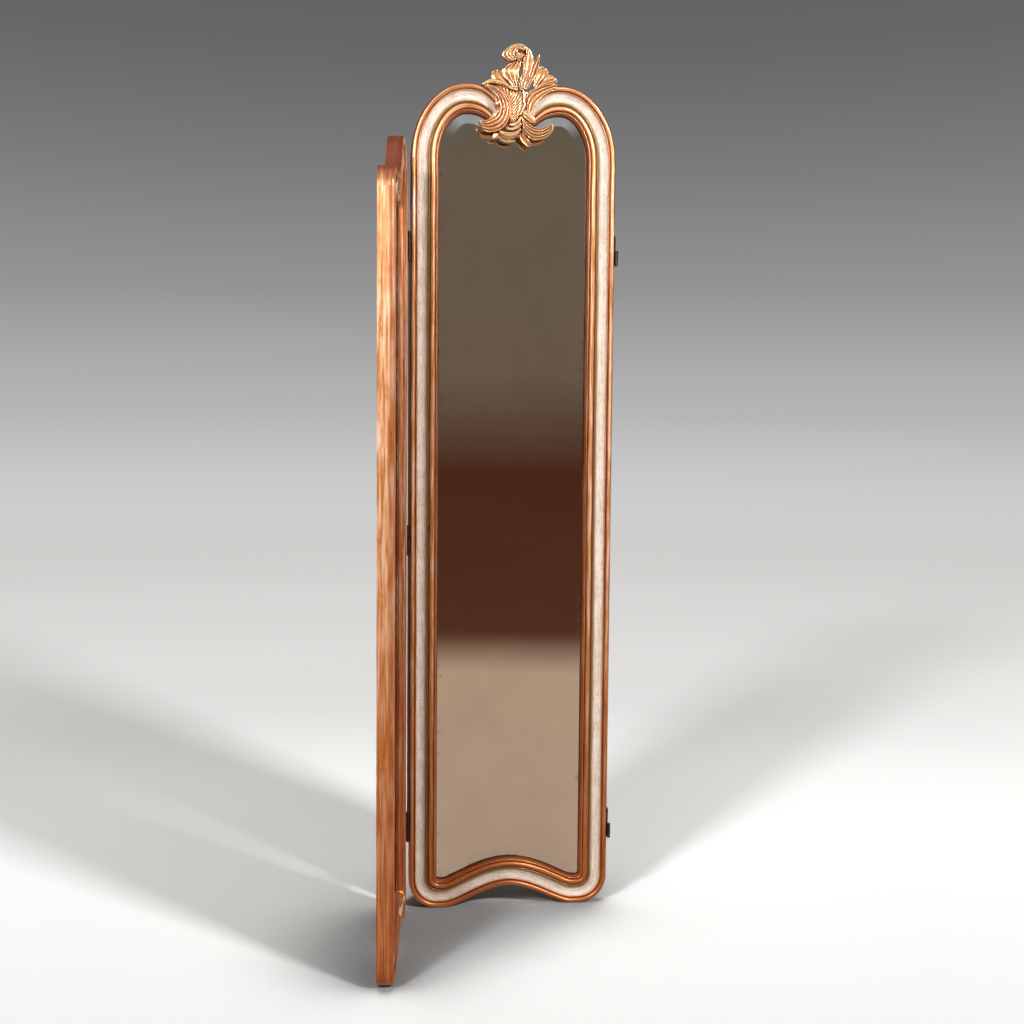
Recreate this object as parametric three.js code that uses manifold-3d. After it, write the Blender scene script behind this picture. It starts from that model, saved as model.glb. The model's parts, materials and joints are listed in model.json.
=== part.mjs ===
// Folding dressing mirror: a tall centre panel with a carved crest, and a lower wing hung on its
// left edge by three lift-off butt hinges. Two hinge halves on the right edge take a second wing.
// Millimetres, +Z up. The centre panel faces -Y, and the finished group stands on z = 0.
import * as THREE from 'three';
import { mergeVertices } from 'three/addons/utils/BufferGeometryUtils.js';
import Module from 'manifold-3d';

const wasm = await Module();
wasm.setup();

// ---------------------------------------------------------------- driving dimensions
const PANEL_W = 430;          // width of each panel
const DEPTH = 32;             // front bead crest to back of frame
const FRAME_W = 60;           // width of the moulding, outer edge to sight edge
const GAP = 0.3;              // clearance between pieces that touch

const CENTRE_TOP = 1745;      // crest of each shoulder arch on the centre panel
const SHOULDER_A = 117;       // half width of a shoulder arch, from the outer edge to its crest
const SHOULDER_B = 155;       // height of a shoulder arch
const CENTRE_HUMP = 44.5;     // rise of the serpentine under the centre panel
const FOOT_R = 60;            // radius of the centre panel's bottom corners

const WING_HIGH = 1609;       // top of the wing's arch, next to its hinges
const WING_LOW = 1507;        // top of the wing's low shoulder, at its free edge
const WING_A = 115;           // half width of the wing's arch
const WING_B = 135;           // height of the wing's arch
const WING_HUMP = 42;         // rise of the serpentine under the wing
const WING_HUMP_S = 195;      // its place, from the hinge edge
const WING_OPEN = 96;         // angle between the two mirror faces at rest, degrees

const REBATE_W = 8;           // width of the rebate that holds the glass
const LIP_Y = 18;             // back of the sight lip, from the front
const GLASS_T = 4;
const BOARD_T = 5;

const HINGE_Z = [1407, 796, 181];   // middles of the left-hand hinges, top to bottom
const HALF_HINGE_Z = [1407, 177];   // middles of the half hinges on the right edge
const HINGE_L = 64;
const LEAF_T = 1.6;
const LEAF_D = 23;            // leaf width, from the pin line into the edge
const BARREL_R = 3.2;
const PIN_R = 1.5;
const BORE_R = 1.6;
const PIN_OUT = 3.4;          // pin line, out from the panel's edge face
const PIN_FRONT = 2.6;        // pin line, in front of the bead crests
const STRIP_T = 3.3;          // packing strip under the left-hand leaves
const SCREW_L = 15;
const SCREW_PITCH = 22;
const DOWEL_R = 4;
const DOWEL_L = 44;

// Moulding section as [distance in from the outer edge, depth behind the bead crests]
const SECTION = [
  [0, DEPTH], [0, 7], [1.2, 3], [5, 0], [9.2, 2], [11.5, 6], [14, 4.5], [18, 8.5], [25.5, 11],
  [33, 8.5], [37, 5], [40, 7], [43.5, 3], [47.5, 1.5], [51, 3], [54, 7], [FRAME_W, 16],
  [FRAME_W, LIP_Y], [FRAME_W - REBATE_W, LIP_Y], [FRAME_W - REBATE_W, DEPTH],
];

// ---------------------------------------------------------------- materials
const finish = (color, roughness, metalness) =>
  new THREE.MeshStandardMaterial({ color, roughness, metalness });
const gilt = finish(0xb9793a, 0.42, 0.55);
const carvedGilt = finish(0xc98b4a, 0.36, 0.65);
const mirror = finish(0xc4c9c6, 0.04, 1.0);
const board = finish(0x8a6a48, 0.8, 0.0);
const beech = finish(0xc7a273, 0.7, 0.0);
const darkWood = finish(0x3a2a18, 0.7, 0.0);
const darkIron = finish(0x26221f, 0.5, 0.8);
const steel = finish(0x5a554f, 0.4, 0.9);

// ---------------------------------------------------------------- solid modelling helpers
function toManifold(geometry) {
  const g = geometry.clone();
  g.deleteAttribute('normal');
  g.deleteAttribute('uv');
  const m = mergeVertices(g, 1e-4);
  const tri = [];
  for (let i = 0; i < m.index.count; i += 3) {
    const [a, b, c] = m.index.array.slice(i, i + 3);
    if (a !== b && b !== c && c !== a) {
      tri.push(a, b, c);
    }
  }
  return new wasm.Manifold(new wasm.Mesh({
    numProp: 3,
    vertProperties: new Float32Array(m.attributes.position.array),
    triVerts: new Uint32Array(tri),
  }));
}

function fromManifold(solid) {
  const mesh = solid.getMesh();
  const g = new THREE.BufferGeometry();
  const xyz = new Float32Array(mesh.vertProperties);
  g.setAttribute('position', new THREE.BufferAttribute(xyz, 3));
  g.setIndex(new THREE.BufferAttribute(new Uint32Array(mesh.triVerts), 1));
  g.computeVertexNormals();
  return g;
}

function box(x0, x1, y0, y1, z0, z1) {
  const g = new THREE.BoxGeometry(x1 - x0, y1 - y0, z1 - z0);
  g.translate((x0 + x1) / 2, (y0 + y1) / 2, (z0 + z1) / 2);
  return g;
}

// Cylinder or cone from point a to point b
function rod(a, b, ra, rb = ra, segments = 12) {
  const from = new THREE.Vector3(...a);
  const along = new THREE.Vector3(...b).sub(from);
  const g = new THREE.CylinderGeometry(rb, ra, along.length(), segments);
  g.translate(0, along.length() / 2, 0);
  const up = new THREE.Vector3(0, 1, 0);
  g.applyQuaternion(new THREE.Quaternion().setFromUnitVectors(up, along.normalize()));
  g.translate(...a);
  return g;
}

// ---------------------------------------------------------------- outlines
// An outline is a list of stations. Each has an outer and an inner point as [x, z]. The moulding
// section is laid between them, so a corner can run to a sharp mitre on its sight side.
const at = (x, z) => new THREE.Vector2(x, z);

function arc(cx, cz, a, b, from, to, n) {
  const points = [];
  for (let i = 0; i <= n; i += 1) {
    const t = THREE.MathUtils.degToRad(from + ((to - from) * i) / n);
    points.push(at(cx + a * Math.cos(t), cz + b * Math.sin(t)));
  }
  return points;
}

const curve = (p0, p1, p2, p3, n) =>
  new THREE.CubicBezierCurve(at(...p0), at(...p1), at(...p2), at(...p3)).getPoints(n);

// Sight line of a run of outline, square to it at the width of the moulding. The run goes
// clockwise round the panel as seen from the front.
function inset(points, width) {
  return points.map((p, i) => {
    const before = points[Math.max(i - 1, 0)];
    const after = points[Math.min(i + 1, points.length - 1)];
    const t = after.clone().sub(before).normalize();
    return at(p.x + t.y * width, p.y - t.x * width);
  });
}

const pair = (outer, inner) => outer.map((p, i) => ({ outer: p, inner: inner[i] }));
const corner = (outer, point) => outer.map((p) => ({ outer: p, inner: at(...point) }));

const mirrored = (stations) => stations
  .map((s) => ({ outer: at(-s.outer.x, s.outer.y), inner: at(-s.inner.x, s.inner.y) }))
  .reverse();

// Centre panel: the arch dips between its shoulders, where the carved crest covers it
function centreTop() {
  const half = PANEL_W / 2;
  const crown = half - SHOULDER_A;
  const straight = CENTRE_TOP - SHOULDER_B;
  const shoulder = arc(-crown, straight, SHOULDER_A, SHOULDER_B, 180, 90, 8);
  const sight = arc(-crown, straight, SHOULDER_A - FRAME_W, SHOULDER_B - FRAME_W, 180, 90, 8);
  const dip = [
    ...curve([-crown, CENTRE_TOP], [-62, CENTRE_TOP + 1], [-40, 1724], [-31, 1702], 4).slice(1),
    ...curve([-31, 1702], [-22, 1690], [-10, 1684], [0, 1684], 2).slice(1),
  ];
  const dipSight = [
    ...curve([-crown, CENTRE_TOP - FRAME_W], [-82, 1686], [-64, 1680], [-50, 1668], 4).slice(1),
    ...curve([-50, 1668], [-36, 1656], [-16, 1648], [0, 1648], 2).slice(1),
  ];
  const left = [...pair(shoulder, sight), ...pair(dip, dipSight)];
  return [...left, ...mirrored(left).slice(1)];
}

function centreBottom() {
  const half = PANEL_W / 2;
  const foot = half - FOOT_R;
  const rise = curve([138, 0], [108, 0], [50, CENTRE_HUMP], [0, CENTRE_HUMP], 7);
  const right = [
    ...corner(arc(foot, FOOT_R, FOOT_R, FOOT_R, 0, -90, 6), [foot, FOOT_R]),
    ...pair(rise, inset(rise, FRAME_W)),
  ];
  return [...right, ...mirrored(right).slice(1)];
}

// Wing, drawn opened flat to the left of its hinge edge at x = 0, and turned to rest later
function wingTop() {
  const straight = WING_HIGH - WING_B;
  const free = -PANEL_W;
  const r = 40;
  const fall = curve([-300, WING_LOW], [-225, WING_LOW], [-185, WING_HIGH], [-WING_A, WING_HIGH], 9);
  const arch = arc(-WING_A, straight, WING_A, WING_B, 90, 0, 8);
  const archSight = arc(-WING_A, straight, WING_A - FRAME_W, WING_B - FRAME_W, 90, 0, 8);
  const cornerPoint = [free + FRAME_W, WING_LOW - FRAME_W];
  return [
    ...corner(arc(free + r, WING_LOW - r, r, r, 180, 90, 5), cornerPoint),
    ...pair(fall, inset(fall, FRAME_W)),
    ...pair(arch, archSight).slice(1),
  ];
}

function wingBottom() {
  const free = -PANEL_W;
  const r = 46;
  const hinge = 58;
  const hump = -WING_HUMP_S;
  const near = curve([-72, 0], [-112, 0], [hump + 46, WING_HUMP], [hump, WING_HUMP], 5);
  const far = curve([hump, WING_HUMP], [hump - 62, WING_HUMP], [-288, 0], [-358, 0], 6);
  const serpentine = [...near, ...far.slice(1)];
  return [
    ...corner(arc(-hinge, hinge, hinge, hinge, 0, -90, 6), [-FRAME_W, FRAME_W]),
    ...pair(serpentine, inset(serpentine, FRAME_W)),
    ...corner(arc(free + r, r, r, r, -90, -180, 5), [free + FRAME_W, FRAME_W]),
  ];
}

// ---------------------------------------------------------------- frame pieces
// Sweeps the moulding section along a run of stations into one closed solid
function moulding(stations) {
  const count = SECTION.length;
  const xyz = [];
  for (const { outer, inner } of stations) {
    for (const [w, y] of SECTION) {
      const t = w / FRAME_W;
      xyz.push(outer.x + (inner.x - outer.x) * t, y, outer.y + (inner.y - outer.y) * t);
    }
  }
  const index = [];
  for (let s = 0; s < stations.length - 1; s += 1) {
    for (let k = 0; k < count; k += 1) {
      const a = s * count + k;
      const b = s * count + ((k + 1) % count);
      index.push(a, a + count, b, b, a + count, b + count);
    }
  }
  const shape = SECTION.map(([w, y]) => at(w, y));
  const last = (stations.length - 1) * count;
  for (const [a, b, c] of THREE.ShapeUtils.triangulateShape(shape, [])) {
    index.push(a, b, c, last + a, last + c, last + b);
  }
  const g = new THREE.BufferGeometry();
  g.setAttribute('position', new THREE.Float32BufferAttribute(xyz, 3));
  g.setIndex(index);
  const solid = toManifold(g);
  return solid.volume() < 0 ? toManifold(flipped(g)) : solid;
}

function flipped(geometry) {
  const g = geometry.clone();
  const old = g.index.array;
  const index = [];
  for (let i = 0; i < old.length; i += 3) {
    index.push(old[i], old[i + 2], old[i + 1]);
  }
  g.setIndex(index);
  return g;
}

// Sheet that fills the rebate, following every station all the way round
function sheet(stations, y0, thickness) {
  const t = (FRAME_W - REBATE_W + 2 * GAP) / FRAME_W;
  const points = stations.map((s) => s.outer.clone().lerp(s.inner, t));
  const kept = points.filter((p, i) => i === 0 || p.distanceTo(points[i - 1]) > 0.5);
  const g = new THREE.ExtrudeGeometry(new THREE.Shape(kept), { depth: thickness, bevelEnabled: false });
  g.rotateX(Math.PI / 2);
  g.translate(0, y0 + thickness, 0);
  return toManifold(g);
}

// Straight side between the end stations of the two rails
const lifted = (s, dz) => ({ outer: at(s.outer.x, s.outer.y + dz), inner: at(s.inner.x, s.inner.y + dz) });
const stile = (low, high) => moulding([lifted(low, GAP), lifted(high, -GAP)]);

// ---------------------------------------------------------------- scene graph
const centreGroup = new THREE.Group();
const wingGroup = new THREE.Group();
const drill = { centre: [], wing: [] };

function put(group, name, solid, material) {
  const mesh = new THREE.Mesh(fromManifold(solid), material.clone());
  mesh.name = name;
  group.add(mesh);
}

function panel(group, prefix, top, bottom, cuts, names) {
  const [lowLeft, lowRight] = [bottom[bottom.length - 1], bottom[0]];
  const [highLeft, highRight] = [top[0], top[top.length - 1]];
  const pieces = {
    top_rail: moulding(top),
    bottom_rail: moulding(bottom),
    [names[0]]: stile(lowLeft, highLeft),
    [names[1]]: stile(lowRight, highRight),
  };
  const joints = [
    ['upper', names[0], highLeft],
    ['upper', names[1], highRight],
    ['lower', names[0], lowLeft],
    ['lower', names[1], lowRight],
  ];
  const holes = [];
  for (const [level, side, station] of joints) {
    const { x, y: z } = station.outer.clone().lerp(station.inner, 0.45);
    const reach = DOWEL_L / 2;
    const y = 22;
    const peg = toManifold(rod([x, y, z - reach], [x, y, z + reach], DOWEL_R));
    const hole = rod([x, y, z - reach - 1], [x, y, z + reach + 1], DOWEL_R + GAP);
    holes.push(toManifold(hole));
    put(group, `${prefix}_${level}_${side}_dowel`, peg, beech);
  }
  for (const [name, solid] of Object.entries(pieces)) {
    const cut = [...holes, ...cuts].reduce((body, hole) => body.subtract(hole), solid);
    put(group, `${prefix}_${name}`, cut, gilt);
  }
  const around = [...top, ...bottom];
  const glassY = LIP_Y + GAP;
  put(group, `${prefix}_mirror_glass`, sheet(around, glassY, GLASS_T), mirror);
  put(group, `${prefix}_backboard`, sheet(around, glassY + GLASS_T + GAP, BOARD_T), board);
}

// ---------------------------------------------------------------- hinges
// Countersunk screw, driven along +X or -X from the outer face of a leaf
function screw(x, y, z, side) {
  const along = (a, b, ra, rb) => toManifold(rod([x + side * a, y, z], [x + side * b, y, z], ra, rb, 10));
  const head = along(0, 1.7, 3.4, 1.6);
  const shank = along(1.4, SCREW_L - 3, 1.6, 1.6);
  const tip = along(SCREW_L - 3.2, SCREW_L, 1.6, 0.4);
  return head.add(shank).add(tip);
}

// One half of a lift-off hinge: a leaf with a knuckle over half its length. inward is the way
// from the leaf's outer face into the wood, and upper says which half of the knuckle it has.
function hingeHalf(group, name, leafX, inward, pinX, z, upper, holes) {
  const z0 = z - HINGE_L / 2;
  const z1 = z + HINGE_L / 2;
  const inner = leafX + inward * LEAF_T;
  const [x0, x1] = [Math.min(leafX, inner), Math.max(leafX, inner)];
  const back = LEAF_D - PIN_FRONT;
  const k0 = upper ? z + GAP / 2 : z0;
  const k1 = upper ? z1 : z - GAP / 2;
  const plate = toManifold(box(x0, x1, 1.4, back, z0, z1));
  const neck = toManifold(box(x0, x1, -PIN_FRONT, 2, k0, k1));
  const barrel = toManifold(rod([pinX, -PIN_FRONT, k0], [pinX, -PIN_FRONT, k1], BARREL_R, BARREL_R, 20));
  const bore = toManifold(rod([pinX, -PIN_FRONT, k0 - 1], [pinX, -PIN_FRONT, k1 + 1], BORE_R, BORE_R, 20));
  let leaf = plate.add(neck).add(barrel).subtract(bore);
  const places = [[-SCREW_PITCH, 9.5], [0, 14.5], [SCREW_PITCH, 9.5]];
  for (const [i, [dz, y]] of places.entries()) {
    const sunk = rod([leafX - inward * 0.1, y, z + dz], [leafX + inward * 1.9, y, z + dz], 3.8, 1.9);
    leaf = leaf.subtract(toManifold(sunk));
    const pilot = rod([leafX + inward * 0.5, y, z + dz], [leafX + inward * (SCREW_L + 0.6), y, z + dz], 1.9);
    holes.push(toManifold(pilot));
    const which = ['lower', 'middle', 'upper'][i];
    put(group, `${name}_${which}_screw`, screw(leafX, y, z + dz, inward), steel);
  }
  put(group, name, leaf, darkIron);
}

const LEVELS = ['top', 'middle', 'bottom'];
const HALF = PANEL_W / 2;
const leftPinX = -HALF - PIN_OUT;
const rightPinX = HALF + PIN_OUT;
const stripX = -HALF - GAP - STRIP_T;
const centreLeafX = stripX + 0.1;
const wingEdgeX = leftPinX - PIN_OUT;
const wingLeafX = wingEdgeX + GAP + LEAF_T;

for (const [i, z] of HINGE_Z.entries()) {
  const name = `${LEVELS[i]}_hinge`;
  hingeHalf(centreGroup, `${name}_centre_leaf`, centreLeafX, 1, leftPinX, z, false, drill.centre);
  hingeHalf(wingGroup, `${name}_wing_leaf`, wingLeafX, -1, leftPinX, z, true, drill.wing);
  const reach = HINGE_L / 2 - 0.6;
  const pin = rod([leftPinX, -PIN_FRONT, z - reach], [leftPinX, -PIN_FRONT, z + reach], PIN_R, PIN_R, 20);
  put(wingGroup, `${name}_pin`, toManifold(pin), steel);
}
for (const [i, z] of HALF_HINGE_Z.entries()) {
  const name = `${['top', 'bottom'][i]}_right_half_hinge`;
  hingeHalf(centreGroup, name, HALF + GAP + LEAF_T, -1, rightPinX, z, false, drill.centre);
}

// Packing strip on the centre panel's left edge, housed for the three leaves
const stripTop = HINGE_Z[0] + HINGE_L / 2 + 0.8;
const stripFoot = HINGE_Z[2] - HINGE_L / 2 - 0.8;
let strip = toManifold(box(stripX, -HALF - GAP, 4, 28, stripFoot, stripTop));
for (const z of HINGE_Z) {
  const reach = HINGE_L / 2 + GAP;
  const [deep, back] = [centreLeafX + LEAF_T + GAP, LEAF_D - PIN_FRONT + GAP];
  const housing = box(stripX - 1, deep, 3, back, z - reach, z + reach);
  strip = strip.subtract(toManifold(housing));
}
for (const hole of drill.centre) {
  strip = strip.subtract(hole);
}
put(centreGroup, 'hinge_packing_strip', strip, darkWood);

// ---------------------------------------------------------------- carved crest
// Outline of the pierced leaf-and-shell carving, clockwise from the left leaf tip, as [x, z]
const CREST_EDGE = [
  [-62, 1750], [-37, 1778], [-26, 1798], [-25, 1814], [-4, 1829], [22, 1831], [38, 1822],
  [26, 1800], [52, 1804], [44, 1778], [64, 1768], [91, 1750], [60, 1736], [34, 1720],
  [46, 1696], [66, 1684], [85, 1662], [62, 1636], [40, 1621], [22, 1634], [7, 1618],
  [-30, 1619], [-36, 1642], [-71, 1668], [-46, 1684], [-42, 1712], [-60, 1730],
];
const CREST_BACK = -0.6;      // back of the carving where it lies over the moulding
const CREST_FRONT = -14;      // front of its ground, under the raised leaves

function carvedCrest(holes) {
  const edge = new THREE.CatmullRomCurve3(
    CREST_EDGE.map(([x, z]) => new THREE.Vector3(x, z, 0)), true, 'catmullrom', 0.4);
  const shape = new THREE.Shape(edge.getPoints(70).slice(0, -1).map((p) => at(p.x, p.y)));
  const slab = (y0, y1) => {
    const g = new THREE.ExtrudeGeometry(shape, { depth: y1 - y0, bevelEnabled: false });
    g.rotateX(Math.PI / 2);
    g.translate(0, y1, 0);
    return toManifold(g);
  };
  // the ground is thicker above the frame and down into the dip of the top rail
  const above = toManifold(box(-120, 120, -40, 40, CENTRE_TOP + 3, 1900));
  const dip = toManifold(box(-24, 24, -40, 40, 1702, 1800));
  let body = slab(CREST_FRONT, CREST_BACK).add(slab(CREST_FRONT, 12).intersect(above.add(dip)));
  // raised forms: [x, z, half width, half height, turn in degrees, height proud of the ground]
  const raised = [
    [-24, 1716, 26, 46, 28, 12], [8, 1700, 16, 44, -16, 13], [10, 1808, 22, 14, 10, 10],
    [-44, 1664, 24, 14, -20, 11], [54, 1656, 30, 15, 18, 11], [-8, 1638, 20, 13, 0, 10],
    [-30, 1762, 24, 13, -35, 8], [60, 1752, 26, 11, -18, 8], [16, 1758, 10, 34, -14, 9],
  ];
  for (const [x, z, a, b, turn, high] of raised) {
    const g = new THREE.SphereGeometry(1, 12, 8);
    g.scale(a, high + 3, b);
    g.rotateY(THREE.MathUtils.degToRad(turn));
    g.translate(x, CREST_FRONT + 3, z);
    const front = toManifold(box(-150, 150, -60, CREST_FRONT + 4, 1500, 1900));
    body = body.add(toManifold(g).intersect(front));
  }
  return holes.reduce((solid, hole) => solid.subtract(hole), body);
}

// Two screws through the top rail hold the carving from behind
const crestHoles = [];
for (const [side, x] of [['left', -16], ['right', 16]]) {
  const z = 1668;
  const back = DEPTH - 0.2;
  const head = toManifold(rod([x, back, z], [x, back - 2.4, z], 4, 2));
  const shank = toManifold(rod([x, back - 2, z], [x, -9, z], 2));
  put(centreGroup, `crest_${side}_screw`, head.add(shank), steel);
  crestHoles.push(toManifold(rod([x, DEPTH + 1, z], [x, -9.6, z], 2.3)));
  crestHoles.push(toManifold(rod([x, DEPTH + 0.3, z], [x, back - 3, z], 4.8, 2.3)));
}
put(centreGroup, 'carved_crest', carvedCrest(crestHoles), carvedGilt);

// ---------------------------------------------------------------- panels
panel(centreGroup, 'centre', centreTop(), centreBottom(), [...drill.centre, ...crestHoles],
  ['left_stile', 'right_stile']);

const shifted = (stations) => stations.map((s) => ({
  outer: at(s.outer.x + wingEdgeX, s.outer.y),
  inner: at(s.inner.x + wingEdgeX, s.inner.y),
}));
panel(wingGroup, 'wing', shifted(wingTop()), shifted(wingBottom()), drill.wing,
  ['free_stile', 'hinge_stile']);

// ---------------------------------------------------------------- rest pose
// The wing turns about its pins from opened flat to rest, then everything moves so that the
// middle of the footprint's box is the origin.
const turn = THREE.MathUtils.degToRad(180 - WING_OPEN);
for (const mesh of wingGroup.children) {
  mesh.geometry.translate(-leftPinX, PIN_FRONT, 0);
  mesh.geometry.rotateZ(turn);
  mesh.geometry.translate(leftPinX, -PIN_FRONT, 0);
}
const object = new THREE.Group();
object.name = 'folding_dressing_mirror';
object.add(...centreGroup.children, ...wingGroup.children);
const bounds = new THREE.Box3().setFromObject(object);
const shift = bounds.getCenter(new THREE.Vector3()).setZ(bounds.min.z).negate();
for (const mesh of object.children) {
  mesh.geometry.translate(...shift);
}

export default object;
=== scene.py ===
"""Folding dressing mirror: the looks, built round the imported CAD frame.

A tall centre panel carries a carved crest and, on its left edge, a lower wing on three lift-off
hinges. Each panel is a gilt moulding with a painted cove round a bevelled mirror. Lengths in the
tables are millimetres in a panel's own place: x from the centre panel's middle or the wing's
hinge edge, y back from the bead crests, z up from the floor. MM turns them into metres.
"""
import json
import math

import bmesh
import bpy
import numpy as np
from mathutils import Matrix, Vector


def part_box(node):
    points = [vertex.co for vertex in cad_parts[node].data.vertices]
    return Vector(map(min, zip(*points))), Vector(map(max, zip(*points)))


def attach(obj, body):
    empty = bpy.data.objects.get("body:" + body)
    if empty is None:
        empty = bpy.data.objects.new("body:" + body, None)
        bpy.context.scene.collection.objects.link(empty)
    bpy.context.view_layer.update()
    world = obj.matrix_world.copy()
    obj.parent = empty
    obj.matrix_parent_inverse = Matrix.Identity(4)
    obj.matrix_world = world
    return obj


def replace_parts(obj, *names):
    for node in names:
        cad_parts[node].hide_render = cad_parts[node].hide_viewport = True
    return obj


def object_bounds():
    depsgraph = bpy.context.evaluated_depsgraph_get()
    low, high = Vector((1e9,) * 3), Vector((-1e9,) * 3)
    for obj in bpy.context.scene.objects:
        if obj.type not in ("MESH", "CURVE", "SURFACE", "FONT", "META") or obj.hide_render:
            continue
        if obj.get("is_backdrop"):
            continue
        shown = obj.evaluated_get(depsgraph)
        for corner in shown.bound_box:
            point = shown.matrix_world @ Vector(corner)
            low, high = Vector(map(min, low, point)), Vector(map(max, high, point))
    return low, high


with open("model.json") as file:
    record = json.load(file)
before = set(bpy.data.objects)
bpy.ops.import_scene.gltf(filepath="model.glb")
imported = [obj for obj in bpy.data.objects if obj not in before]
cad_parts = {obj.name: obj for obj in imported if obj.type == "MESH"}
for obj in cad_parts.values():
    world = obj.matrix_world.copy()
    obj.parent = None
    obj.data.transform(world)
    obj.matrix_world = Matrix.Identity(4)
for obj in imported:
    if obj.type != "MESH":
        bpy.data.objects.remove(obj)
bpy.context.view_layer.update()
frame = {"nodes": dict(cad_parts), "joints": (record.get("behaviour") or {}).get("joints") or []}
MM = 0.001

# ------------------------------------------------------------------ driving dimensions
PANEL_W = 430.0
FRAME_W = 60.0
DEPTH = 32.0
REBATE_W = 8.0
LIP_Y = 18.0
GLASS_Y = 18.3
GLASS_T = 4.0
GLASS_IN_REBATE = 0.6     # clearance between the glass and the rebate wall
BEVEL_W = 20.0            # bevel of the mirror glass, inside the sight edge
BEVEL_DROP = 1.6
SIGHT_R = 6.0             # rounding of the sight edge in the bottom corners

CENTRE_TOP = 1745.0
SHOULDER_A = 117.0
SHOULDER_B = 155.0
CENTRE_HUMP = 44.5
FOOT_R = 60.0
WING_HIGH = 1609.0
WING_LOW = 1507.0
WING_A = 115.0
WING_B = 135.0
WING_HUMP = 42.0
WING_HUMP_X = -195.0
STEP = 9.0                # spacing of the stations along a straight side

# ------------------------------------------------------------------ the panels' own places
glass_low, glass_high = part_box("centre_mirror_glass")
stile_low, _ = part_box("centre_left_stile")
CENTRE_X = (glass_low.x + glass_high.x) / 2
FRONT_Y = stile_low.y
SWING = frame["joints"][0]
PIN = Vector(SWING["pos_m"])
REST_TURN = -math.radians(SWING["range_deg"][0])
PIN_OUT = 3.4             # pin line, out from the edge of either panel
PIN_FRONT = 2.6           # pin line, in front of the bead crests


def on_centre(x, y, z):
    return (CENTRE_X + x * MM, FRONT_Y + y * MM, z * MM)


def on_wing(x, y, z):
    dx, dy = (x - PIN_OUT) * MM, (y + PIN_FRONT) * MM
    c, s = math.cos(REST_TURN), math.sin(REST_TURN)
    return (PIN.x + dx * c - dy * s, PIN.y + dx * s + dy * c, z * MM)


# ------------------------------------------------------------------ mesh helpers
def make_piece(name, verts, faces, body, materials, picks=None, sharp=32.0):
    """A named mesh in world metres that rides on a body. picks is each face's material."""
    me = bpy.data.meshes.new(name)
    me.from_pydata([tuple(v) for v in verts], [], faces)
    for m in materials:
        me.materials.append(m)
    if picks is not None:
        me.polygons.foreach_set("material_index", picks)
    bm = bmesh.new()
    bm.from_mesh(me)
    bmesh.ops.recalc_face_normals(bm, faces=bm.faces)
    bm.to_mesh(me)
    bm.free()
    me.shade_smooth()
    me.set_sharp_from_angle(angle=math.radians(sharp))
    ob = bpy.data.objects.new(name, me)
    bpy.context.scene.collection.objects.link(ob)
    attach(ob, body)
    return ob


def paint_uv(ob, uv_of_vertex, name="run"):
    layer = ob.data.uv_layers.new(name=name)
    loops = np.zeros(len(ob.data.loops), np.int32)
    ob.data.loops.foreach_get("vertex_index", loops)
    layer.data.foreach_set("uv", np.asarray(uv_of_vertex, float)[loops].ravel())


# ------------------------------------------------------------------ outlines
# An outline is a list of stations, each an outer and an inner (sight edge) point as (x, z).
def arc(cx, cz, a, b, start, end, n):
    turn = np.radians(np.linspace(start, end, n + 1))
    return np.stack([cx + a * np.cos(turn), cz + b * np.sin(turn)], 1)


def curve(p0, p1, p2, p3, n):
    t = np.linspace(0, 1, n + 1)[:, None]
    p = [np.array(q, float) for q in (p0, p1, p2, p3)]
    return ((1 - t) ** 3 * p[0] + 3 * (1 - t) ** 2 * t * p[1]
            + 3 * (1 - t) * t ** 2 * p[2] + t ** 3 * p[3])


def inset(points, width):
    """The points moved square to their line, to the right of its direction."""
    d = np.gradient(points, axis=0)
    d /= np.linalg.norm(d, axis=1)[:, None]
    return points + width * np.stack([d[:, 1], -d[:, 0]], 1)


def stations(outer, inner):
    return np.stack([outer, inner], 1)


def mirrored(run):
    return run[::-1] * np.array([-1.0, 1.0])


def joined(*runs):
    """Runs end to end, without the repeated stations where they meet."""
    out = [runs[0]]
    for run in runs[1:]:
        same = np.allclose(run[0], out[-1][-1], atol=0.01)
        out.append(run[1:] if same else run)
    return np.concatenate(out)


def corner(cx, cz, r, start, end, toward, n=16):
    """Rounded outer corner with a tight sight corner, whose centre lies toward the glass."""
    sx, sz = cx + toward[0] * SIGHT_R, cz + toward[1] * SIGHT_R
    return stations(arc(cx, cz, r, r, start, end, n), arc(sx, sz, SIGHT_R, SIGHT_R, start, end, n))


def centre_top():
    crown = PANEL_W / 2 - SHOULDER_A
    base = CENTRE_TOP - SHOULDER_B
    shoulder = stations(
        arc(-crown, base, SHOULDER_A, SHOULDER_B, 180, 90, 34),
        arc(-crown, base, SHOULDER_A - FRAME_W, SHOULDER_B - FRAME_W, 180, 90, 34))
    fall = stations(
        curve((-crown, CENTRE_TOP), (-62, CENTRE_TOP + 1), (-40, 1724), (-31, 1702), 18),
        curve((-crown, CENTRE_TOP - FRAME_W), (-82, 1686), (-64, 1680), (-50, 1668), 18))
    dip = stations(
        curve((-31, 1702), (-22, 1690), (-10, 1684), (0, 1684), 8),
        curve((-50, 1668), (-36, 1656), (-16, 1648), (0, 1648), 8))
    left = joined(shoulder, fall, dip)
    return joined(left, mirrored(left))


def centre_bottom():
    foot = PANEL_W / 2 - FOOT_R
    rise = stations(
        curve((138, 0), (108, 0), (50, CENTRE_HUMP), (0, CENTRE_HUMP), 30),
        curve((140, 60), (124, 60), (66, 60 + CENTRE_HUMP), (0, 60 + CENTRE_HUMP), 30))
    right = joined(corner(foot, FOOT_R, FOOT_R, 0, -90, (-1, 1)), rise)
    return joined(right, mirrored(right))


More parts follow.
